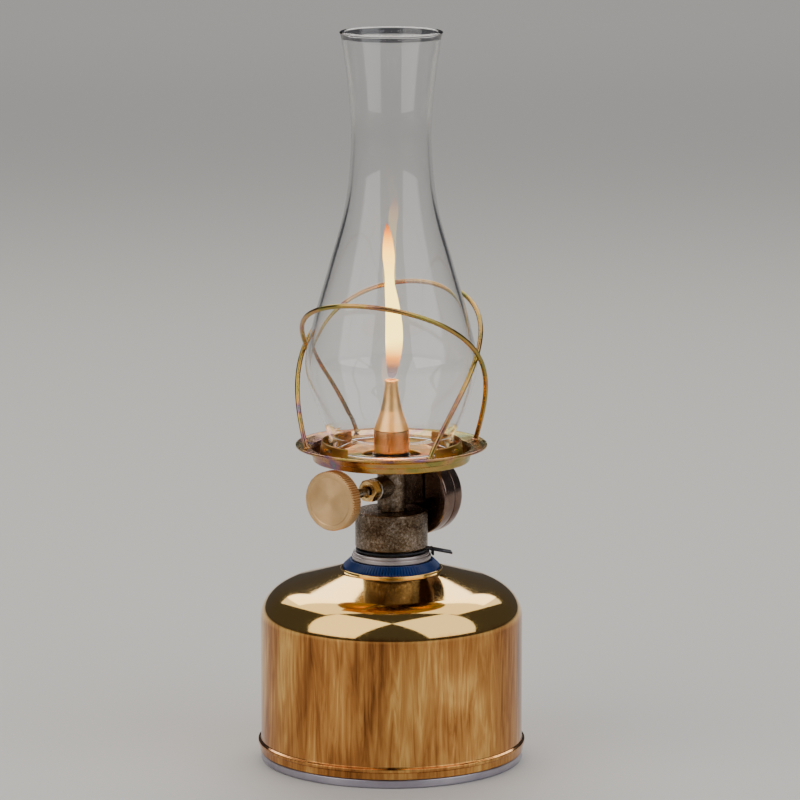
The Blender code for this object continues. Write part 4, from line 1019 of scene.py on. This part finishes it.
@dataclass
class Regulator:
    """Round regulator case in two shells."""

    radius: float = 14.2 * MM
    face: float = 13.3 * MM
    split: float = 19.0 * MM
    back: float = 25.4 * MM
    wall: float = 1.0 * MM
    slack: float = 0.3 * MM
    port_radius: float = 2.7 * MM
    button: float = 6.5 * MM
    vent: float = 0.8 * MM

    def build(self) -> None:
        """Build and dress the two shells."""
        outward = Vector(joint("regulator_stroke")["axis"])
        middle = (low("regulator_case_front").z + high("regulator_case_front").z) / 2
        place = side_frame(outward, middle)
        browns = ((0.11, 0.055, 0.038), (0.21, 0.135, 0.105), (0.30, 0.23, 0.20))
        look = SmoothMetal("dark_nickel", browns, (0.14, 0.28), clouds=70.0, pitting=0.12).material()
        self.front_shell(place, outward, look)
        self.back_shell(place, look)

    def front_shell(self, place: Matrix, outward: Vector, look: bpy.types.Material) -> None:
        """Build the shell that sits on the body's port.

        Args:
            place: Frame of the case.
            outward: Level direction from the lamp's axis to the case.
            look: Its material.
        """
        inner = self.radius - self.wall
        ledge = inner - 1.0 * MM
        floor = self.face + self.wall
        ledge_z = floor + 2.1 * MM
        dish = self.face + 0.25 * MM
        front = Outline().to(0.0, floor).to(ledge, floor, 0.4 * MM).to(ledge, ledge_z).to(inner, ledge_z)
        front.to(inner, self.split).to(self.radius, self.split, 0.25 * MM)
        front.to(self.radius, self.face, 0.75 * MM).to(self.radius - 2.4 * MM, self.face, 0.3 * MM)
        front.to(self.radius - 2.7 * MM, dish, 0.3 * MM).to(0.0, dish)
        shell = spun(front.points(ring=False), ring=False, place=place)
        port = side_frame(outward, high("valve_body").z - STUD_LENGTH - COLUMN_LENGTH + PORT_LIFT)
        hole = cylinder(self.port_radius, self.face - 1.0 * MM, floor + 1.0 * MM, port, 48)
        piece(combined(shell, [("DIFFERENCE", hole)]), "regulator_front", Body.HEAD, look,
              ["regulator_case_front"])

    def back_shell(self, place: Matrix, look: bpy.types.Material) -> None:
        """Build the shell that closes the case, with its pressed button and vent.

        Args:
            place: Frame of the case.
            look: Its material.
        """
        lip = self.radius - self.wall - self.slack
        bore = lip - self.wall
        lip_z = self.split - 2.0 * MM
        start = self.split + self.slack
        button = self.back - 0.4 * MM
        inside = self.back - self.wall - self.slack
        back = Outline().to(bore, lip_z).to(lip, lip_z, 0.2 * MM).to(lip, start)
        back.to(self.radius, start, 0.25 * MM).to(self.radius, self.back, 2.9 * MM)
        back.to(self.button, self.back, 0.4 * MM).to(self.button - 0.4 * MM, button, 0.3 * MM)
        back.to(2.0 * self.vent, button, 0.3 * MM).to(self.vent, self.back - 0.9 * MM, 0.1 * MM)
        back.to(self.vent, inside).to(bore, inside, 0.5 * MM)
        piece(spun(back.points(), place=place), "regulator_back", Body.HEAD, look,
              ["regulator_case_back"])


# Plate, seat and burner
@dataclass
class Plate:
    """Pressed plate, the seat of the glass, and the nut and washer under the burner."""

    sheet: float = 0.8 * MM
    floor_radius: float = 26.2 * MM
    step_inset: float = 4.9 * MM
    step_height: float = 4.2 * MM
    ridge_radius: float = 24.1 * MM
    seat_lift: float = 4.1 * MM
    hole: float = 10.1 * MM
    gap: float = 30.0 * MM
    slots: tuple[float, ...] = (-26.0, 0.0, 26.0)
    slot_size: tuple[float, float, float] = (5.5 * MM, 1.1 * MM, 5.0 * MM)
    ring_width: float = 0.9 * MM
    nut_flats: float = 13.0 * MM
    washer_radius: float = 8.4 * MM

    def build(self) -> None:
        """Build and dress the pieces."""
        self.saucer(YellowZinc().material())
        self.seat(YellowZinc("seat_zinc", 48.0, (0.30, 0.42), 1.35).material())
        self.fixing()

    def saucer(self, look: bpy.types.Material) -> None:
        """Build the outer saucer with its rolled lip and its step."""
        bottom = low("plate").z
        lip_z = high("plate").z
        rim = high("plate").x
        step = rim - self.step_inset
        step_z = bottom + self.step_height
        wall = self.floor_radius + 1.2 * MM
        floor = bottom + self.sheet
        outline = Outline().to(rim - 0.75 * MM, lip_z, 0.3 * MM).to(rim, lip_z, 0.4 * MM)
        outline.to(rim, lip_z - 0.85 * MM, 0.35 * MM).to(step + 0.6 * MM, step_z + 0.2 * MM, 0.4 * MM)
        outline.to(step - 0.25 * MM, step_z - 0.25 * MM, 0.5 * MM)
        outline.to(step - 0.5 * MM, step_z - 1.7 * MM, 0.3 * MM)
        outline.to(step - 0.95 * MM, step_z - 2.0 * MM, 0.3 * MM)
        outline.to(wall, bottom + 0.3 * MM, 0.7 * MM)
        outline.to(self.floor_radius - 0.6 * MM, bottom, 0.5 * MM).to(STUD_BORE, bottom, 0.1 * MM)
        outline.to(STUD_BORE, floor, 0.1 * MM).to(wall - 0.8 * MM, floor, 0.7 * MM)
        outline.to(step - 1.15 * MM, step_z - 0.3 * MM, 0.5 * MM)
        outline.to(step - 0.6 * MM, step_z + 0.8 * MM, 0.5 * MM)
        outline.to(rim - 1.15 * MM, lip_z - 0.35 * MM, 0.3 * MM)
        piece(spun(outline.points(), detail=Detail.LARGE), "saucer", Body.HEAD, look,
              ["plate"])

    def seat(self, look: bpy.types.Material) -> None:
        """Build the inner disc, whose ridge has windows that let air in."""
        foot_z = low("glass_seat").z
        top = high("glass_seat").z
        floor = low("plate").z + self.seat_lift
        ridge = self.ridge_radius
        foot = ridge + 1.0 * MM
        outline = Outline().to(ridge, top, 0.3 * MM).to(ridge + 0.45 * MM, top - 0.4 * MM, 0.3 * MM)
        outline.to(foot, foot_z + 1.2 * MM, 0.6 * MM).to(foot + 0.4 * MM, foot_z, 0.1 * MM)
        outline.to(foot - 0.5 * MM, foot_z, 0.1 * MM).to(ridge - 0.3 * MM, floor - self.sheet, 0.4 * MM)
        outline.to(self.hole, floor - self.sheet, 0.3 * MM).to(self.hole, floor, 0.35 * MM)
        ring = ridge - 5.6 * MM
        outline.to(ring - self.ring_width, floor, 0.6 * MM).to(ring, floor + 0.35 * MM, 0.5 * MM)
        outline.to(ring + self.ring_width, floor, 0.6 * MM)
        outline.to(ridge - 0.7 * MM, floor, 0.5 * MM).to(ridge - 0.4 * MM, top - 0.4 * MM, 0.3 * MM)
        height = top - floor
        opening = slab(Vector((self.gap, 2 * foot + 2 * MM, height)),
                       Vector((0.0, 0.0, floor + 0.6 * MM + height / 2)), Matrix.Identity(4), 0.5 * MM)
        cutters = [("DIFFERENCE", opening)]
        middle = Vector((0.0, floor + 1.5 * MM, ridge))
        for azimuth in self.slots:
            for side in (0.0, 180.0):
                place = side_frame(heading(azimuth + side), 0.0)
                cutters.append(("DIFFERENCE", slab(Vector(self.slot_size), middle, place, 0.2 * MM)))
        shape = combined(spun(outline.points(), detail=Detail.LARGE), cutters)
        piece(shape, "seat_ring", Body.HEAD, look, ["glass_seat"])

    def fixing(self) -> None:
        """Build the thin blackened nut and washer that clamp the plate."""
        blacks = ((0.02, 0.018, 0.016), (0.04, 0.035, 0.03), (0.08, 0.07, 0.06))
        steel = SmoothMetal("blackened_steel", blacks, (0.3, 0.45)).material()
        bottom = low("plate_nut").z
        top = high("plate_nut").z
        corner = self.nut_flats / 2 / math.cos(HALF_CORNER)
        upright = Matrix.Identity(4)
        limit = Outline().to(0.0, top).to(corner - 0.6 * MM, top).to(corner, top - 0.35 * MM)
        limit.to(corner, bottom).to(0.0, bottom)
        nut = combined(cylinder(corner, bottom, top, upright, 6), [
            ("INTERSECT", spun(limit.points(ring=False), ring=False, detail=Detail.SMALL)),
            ("DIFFERENCE", cylinder(STUD_BORE, bottom - 1.0 * MM, top + 1.0 * MM, upright, 48))])
        piece(nut, "plate_hex_nut", Body.HEAD, steel, ["plate_nut"], crease=20.0)
        start = low("plate_washer").z
        end = high("plate_washer").z
        outline = Outline().to(STUD_BORE, end, 0.1 * MM).to(self.washer_radius, end, 0.2 * MM)
        outline.to(self.washer_radius, start, 0.2 * MM).to(STUD_BORE, start, 0.1 * MM)
        piece(spun(outline.points()), "plate_ring", Body.HEAD, steel, ["plate_washer"])


@dataclass
class Burner:
    """Satin foot and polished flare of the burner, with its flame."""

    wall: float = 0.6 * MM
    flare: float = 1.8
    top_radius: float = 2.25 * MM
    flame_height: float = 55.0 * MM
    flame_lift: float = 0.3 * MM
    sway: float = 1.1 * MM
    lean: float = 1.5 * MM

    def build(self) -> None:
        """Build and dress the pieces."""
        self.foot()
        self.cone()
        self.flame()

    def foot(self) -> None:
        """Build the cylindrical foot."""
        bottom = low("burner_base").z
        top = high("burner_base").z
        radius = high("burner_base").x
        outline = Outline().to(STUD_BORE, top, 0.1 * MM).to(radius, top, 0.12 * MM)
        outline.to(radius, bottom, 0.4 * MM).to(STUD_BORE, bottom, 0.2 * MM)
        coppers = ((0.74, 0.43, 0.20), (0.82, 0.50, 0.25), (0.88, 0.58, 0.30))
        look = SmoothMetal("satin_copper_brass", coppers, (0.3, 0.42), clouds=80.0, pitting=0.4,
                           grain=(1.0, 1.0, 6.0)).material()
        piece(spun(outline.points()), "burner_foot", Body.HEAD, look, ["burner_base"])

    def outline(self, foot: float, top: float) -> list[Point]:
        """Return the concave flare between two radii, from its top to its foot."""
        start = high("burner_cone").z
        height = start - low("burner_cone").z
        steps = 24
        return [(top + (foot - top) * (step / steps) ** self.flare, start - height * step / steps)
                for step in range(steps + 1)]

    def cone(self) -> None:
        """Build the polished flare with its small rolled lip."""
        foot = high("burner_cone").x
        outside = self.outline(foot, self.top_radius)
        inside = self.outline(foot - self.wall, self.top_radius - self.wall)
        top = outside[0][1]
        lip = [(self.top_radius + out * MM, top - drop * MM)
               for out, drop in ((-0.3, 0.0), (0.1, 0.0), (0.22, 0.35), (0.1, 0.75))]
        coppers = ((0.97, 0.56, 0.20), (0.99, 0.62, 0.25), (1.0, 0.68, 0.31))
        look = SmoothMetal("polished_copper_brass", coppers, (0.34, 0.42), clouds=50.0,
                           pitting=0.02).material()
        piece(spun(lip + outside[2:] + inside[::-1]), "burner_flare", Body.HEAD, look,
              ["burner_cone"])

    def flame(self) -> None:
        """Build the slender flame, which swells above the burner and again below its tip."""
        foot = high("burner_cone").z + self.flame_lift
        swell = flowing([(0.0, 0.0), (1.3, 0.02), (2.1, 0.08), (2.9, 0.20), (3.0, 0.32), (2.3, 0.50),
                         (1.65, 0.62), (1.75, 0.70), (2.1, 0.78), (1.7, 0.88), (0.8, 0.96), (0.0, 1.0)], 5)
        points = [(max(radius, 0.0) * MM, foot + share * self.flame_height) for radius, share in swell]
        shape = spun(points[::-1], ring=False, detail=Detail.SMALL)
        for vert in shape.verts:
            share = (vert.co.z - foot) / self.flame_height
            vert.co.x += self.sway * math.sin(math.pi * min(share / 0.6, 1.0)) - self.lean * share ** 2
        look = FlameLight(foot, foot + self.flame_height).material()
        made = piece(shape, "flame", Body.HEAD, look)
        made.visible_shadow = False


# Glass and guard
@dataclass
class Chimney:
    """Blown glass chimney."""

    foot: float = 22.0 * MM
    bulge: float = 30.0 * MM
    throat: float = 13.9 * MM
    rim: float = 17.6 * MM
    wall: float = 1.3 * MM

    def knots(self) -> list[Point]:
        """Return the knots of the outline, from the rim down to the foot."""
        top = high("glass_chimney").z
        bottom = low("glass_chimney").z
        throat_z = top - 38.4 * MM
        bulge_z = bottom + 29.0 * MM
        fall = self.bulge - self.throat
        flare = self.rim - self.throat
        drop = throat_z - bulge_z
        return [(self.rim, top), (self.throat + 0.26 * flare, throat_z + 18.0 * MM),
                (self.throat, throat_z),
                (self.throat + 0.13 * fall, throat_z - 0.28 * drop),
                (self.throat + 0.49 * fall, throat_z - 0.555 * drop),
                (self.throat + 0.84 * fall, throat_z - 0.81 * drop), (self.bulge, bulge_z),
                (self.foot + 0.55 * (self.bulge - self.foot), bottom + 15.3 * MM),
                (self.foot, bottom + 4.8 * MM)]

    def build(self) -> None:
        """Build and dress the chimney."""
        bottom = low("glass_chimney").z
        outside = flowing(self.knots(), 14) + [(self.foot, bottom + 0.7 * MM)]
        inside = inset(outside, self.wall)
        top = outside[0][1]
        half = self.wall / 2
        bead = arc((self.rim - half, top - 0.55 * MM), (half + 0.25 * MM, 0.55 * MM), 180.0, 0.0, 10)
        sole = arc((self.foot - half, bottom + half), (half, half), 0.0, -180.0, 8)
        start = next(index for index, point in enumerate(outside) if point[1] < top - 1.4 * MM)
        loop = bead + outside[start:] + sole[1:-1] + inside[start:][::-1]
        piece(spun(loop, detail=Detail.LARGE), "blown_chimney", Body.CHIMNEY, ClearGlass().material(),
              ["glass_chimney"])


@dataclass
class Guard:
    """Two hoops of plated wire with welded feet."""

    wire: float = 0.85 * MM
    azimuth: float = 246.0
    half_spread: float = 130.0
    top_radius: float = 31.5 * MM
    foot_radius: float = 30.4 * MM
    fullness: float = 0.80
    belly: float = 3.35 * MM
    stagger: float = 2.0 * MM
    tilt: float = 2.9 * MM
    steps: int = 120

    def route(self, azimuth: float, foot_z: float, rise: float) -> list[Vector]:
        """Return the wire's run from foot to foot.

        Args:
            azimuth: Direction in which the hoop leans, in degrees.
            foot_z: Height of its feet.
            rise: Height of its top above them.

        Returns:
            Points along the wire.
        """
        points: list[Vector] = []
        for step in range(self.steps + 1):
            turn = math.radians(180.0 * step / self.steps - 90.0)
            share = math.sin(turn)
            level = max(math.cos(turn), 0.0)
            radius = self.top_radius + (self.foot_radius - self.top_radius) * share ** 2
            radius += self.belly * share ** 2 * level + self.stagger * share * level
            place = radius * heading(azimuth + self.half_spread * share)
            height = rise * level ** (2 * self.fullness) + self.tilt * share * level
            points.append(Vector((place.x, place.y, foot_z + height)))
        return points

    def build(self) -> None:
        """Build and dress both hoops."""
        look = YellowZinc("wire_zinc", 38.0).material()
        for name, node, azimuth in (("hoop_a", "guard_hoop_a", self.azimuth),
                                    ("hoop_b", "guard_hoop_b", self.azimuth + 180.0)):
            foot_z = low(node).z + 0.05 * MM
            rise = high(node).z - self.wire - foot_z
            points = self.route(azimuth, foot_z, rise)
            shape = swept(points, self.wire, 20)
            for foot in (points[0], points[-1]):
                self.weld(shape, foot)
            piece(shape, name, Body.HEAD, look, [node])

    def weld(self, shape: bmesh.types.BMesh, foot: Vector) -> None:
        """Add the flattened collar at one foot."""
        middle = Matrix.Translation(foot + Vector((0.0, 0.0, 0.35 * MM)))
        place = middle @ Matrix.Diagonal((1.45, 1.45, 0.55, 1.0))
        bmesh.ops.create_uvsphere(shape, u_segments=24, v_segments=12, radius=self.wire, matrix=place)


def swept(points: Sequence[Vector], radius: float, sides: int) -> bmesh.types.BMesh:
    """Sweep a circle along a route.

    Args:
        points: The route.
        radius: Radius of the circle.
        sides: Its number of sides.

    Returns:
        A closed tube with flat ends.
    """
    shape = bmesh.new()
    rings = []
    side = Vector((0.0, 0.0, 1.0)).orthogonal()
    for index, point in enumerate(points):
        along = (points[min(index + 1, len(points) - 1)] - points[max(index - 1, 0)]).normalized()
        side = (side - along * side.dot(along)).normalized()
        over = along.cross(side)
        turned = Matrix((side, over, along)).transposed().to_4x4()
        turned.translation = point
        made = bmesh.ops.create_circle(shape, cap_ends=False, segments=sides, radius=radius, matrix=turned)
        rings.append({edge for vert in made["verts"] for edge in vert.link_edges})
    for before, after in zip(rings, rings[1:]):
        bmesh.ops.bridge_loops(shape, edges=list(before) + list(after))
    bmesh.ops.holes_fill(shape, edges=[edge for edge in shape.edges if edge.is_boundary], sides=0)
    bmesh.ops.recalc_face_normals(shape, faces=shape.faces)
    return shape


# Inner pieces that keep their CAD shape
@dataclass
class InnerPieces:
    """Pieces inside the lamp, dressed where they stand."""

    def dress(self, steel: bpy.types.Material) -> None:
        """Give each remaining CAD node its finish.

        Args:
            steel: Material of the plain steel pieces.
        """
        rubber = Moulded("black_rubber", (0.03, 0.03, 0.032), (0.012, 0.012, 0.013), (0.5, 0.7)).material()
        brass = TurnedMetal("inner_brass", (0.85, 0.62, 0.30), (0.70, 0.46, 0.20),
                            Matrix.Identity(4)).material()
        greys = ((0.40, 0.39, 0.45), (0.50, 0.49, 0.55), (0.58, 0.57, 0.62))
        paint = SmoothMetal("can_wall", greys, (0.25, 0.4), clouds=50.0).material()
        white = Moulded("white_plastic", (0.80, 0.80, 0.77), (0.70, 0.70, 0.67), (0.4, 0.6)).material()
        browns = ((0.30, 0.18, 0.07), (0.45, 0.30, 0.14), (0.55, 0.38, 0.2))
        bronze = SmoothMetal("sintered_bronze", browns, (0.5, 0.8), clouds=900.0, pitting=1.0).material()
        looks = {
            "cartridge_shell": paint, "cartridge_valve_housing": white, "cartridge_valve_seal": rubber,
            "cartridge_valve_stem": brass, "cartridge_valve_spring": steel, "cartridge_gasket": rubber,
            "cartridge_pin": steel, "inlet_filter": bronze, "spindle_o_ring": rubber,
            "regulator_diaphragm": rubber, "regulator_plunger": brass, "regulator_spring": steel,
            "burner_jet": brass}
        for node, look in looks.items():
            for slot in frame["nodes"][node].material_slots:
                slot.material = look
            LOG.info("%s: dressed", node)


# Studio
@dataclass
class Studio:
    """Pale floor, soft lights and the camera."""

    floor_size: float = 9.0
    camera_back: float = 1.545
    camera_height: float = 0.400
    camera_side: float = 0.0030
    pitch: float = 10.0
    lens: float = 202.5
    flame_watts: float = 0.8
    flame_lift: float = 18.0 * MM
    flame_cone: float = 64.0

    def build(self) -> None:
        """Set up the floor, the lights, the world and the camera."""
        self.floor()
        self.light("left_softbox", Vector((-0.74, -0.55, 0.86)), (1.15, 1.6), 10.5, (1.0, 0.97, 0.93))
        self.light("right_softbox", Vector((0.76, -0.53, 0.86)), (1.15, 1.6), 9.5, (0.95, 0.97, 1.0))
        self.light("back_softbox", Vector((0.0, 0.72, 1.10)), (1.9, 1.25), 12.0, (1.0, 0.97, 0.92))
        self.light("far_softbox", Vector((0.0, 3.2, 2.4)), (4.0, 2.0), 55.0, (1.0, 1.0, 1.0),
                   Vector((0.0, 2.9, 0.0)))
        self.flame_light()
        self.world()
        self.camera()

    def floor(self) -> None:
        """Lay the pale floor."""
        shape = bmesh.new()
        bmesh.ops.create_grid(shape, x_segments=1, y_segments=1, size=self.floor_size / 2)
        mesh = bpy.data.meshes.new("floor")
        shape.to_mesh(mesh)
        shape.free()
        graph = Graph("pale_floor", Base_Color=(0.58, 0.56, 0.53), Roughness=0.6)
        mesh.materials.append(graph.material)
        made = bpy.data.objects.new("floor", mesh)
        made.location.z = -0.02 * MM
        bpy.context.scene.collection.objects.link(made)

    def light(self, name: str, place: Vector, size: Point, watts: float, colour: Colour,
              target: Vector = Vector((0.0, 0.0, 0.12))) -> None:
        """Hang a softbox that faces the lamp, or another target.

        Args:
            name: Name of the light.
            place: Where it hangs.
            size: Its width and height.
            watts: Its power.
            colour: Its colour.
            target: The point that it faces.
        """
        data = bpy.data.lights.new(name, "AREA")
        data.shape = "RECTANGLE"
        data.size, data.size_y = size
        data.energy = watts
        data.color = colour
        made = bpy.data.objects.new(name, data)
        made.location = place
        aim = target - place
        made.rotation_euler = aim.to_track_quat("-Z", "Y").to_euler()
        bpy.context.scene.collection.objects.link(made)

    def flame_light(self) -> None:
        """Shine warmly down from the middle of the flame on the burner and the plate alone."""
        data = bpy.data.lights.new("flame_light", "SPOT")
        data.spot_size = math.radians(self.flame_cone)
        data.spot_blend = 0.6
        data.energy = self.flame_watts
        data.color = (1.0, 0.60, 0.26)
        data.shadow_soft_size = 0.0
        made = bpy.data.objects.new("flame_light", data)
        made.location.z = high("burner_cone").z + self.flame_lift
        bpy.context.scene.collection.objects.link(made)

    def world(self) -> None:
        """Fill the room with dim, even light."""
        world = bpy.data.worlds.new("studio")
        world.use_nodes = True
        background = world.node_tree.nodes["Background"]
        background.inputs["Color"].default_value = (0.08, 0.08, 0.085, 1.0)
        background.inputs["Strength"].default_value = 0.8
        bpy.context.scene.world = world

    def camera(self) -> None:
        """Set the camera a little above the lamp."""
        data = bpy.data.cameras.new("camera")
        data.lens = self.lens
        data.clip_start = 0.05
        made = bpy.data.objects.new("camera", data)
        made.location = (self.camera_side, -self.camera_back, self.camera_height)
        made.rotation_euler = (math.radians(90.0 - self.pitch), 0.0, 0.0)
        bpy.context.scene.collection.objects.link(made)
        bpy.context.scene.camera = made


def main() -> None:
    """Build the lamp from the table up, then the studio round it."""
    logging.basicConfig(level=logging.INFO, format="%(name)s: %(message)s")
    steel = SmoothMetal("plain_steel", ((0.34, 0.31, 0.29), (0.50, 0.47, 0.45), (0.62, 0.60, 0.58)),
                        (0.2, 0.36)).material()
    Cartridge().build()
    CoverSet().build()
    TabWasher().build()
    ValveBody().build()
    Control().build(steel)
    Regulator().build()
    Plate().build()
    Burner().build()
    Chimney().build()
    Guard().build()
    InnerPieces().dress(steel)
    Studio().build()


if __name__ == "__main__":
    main()
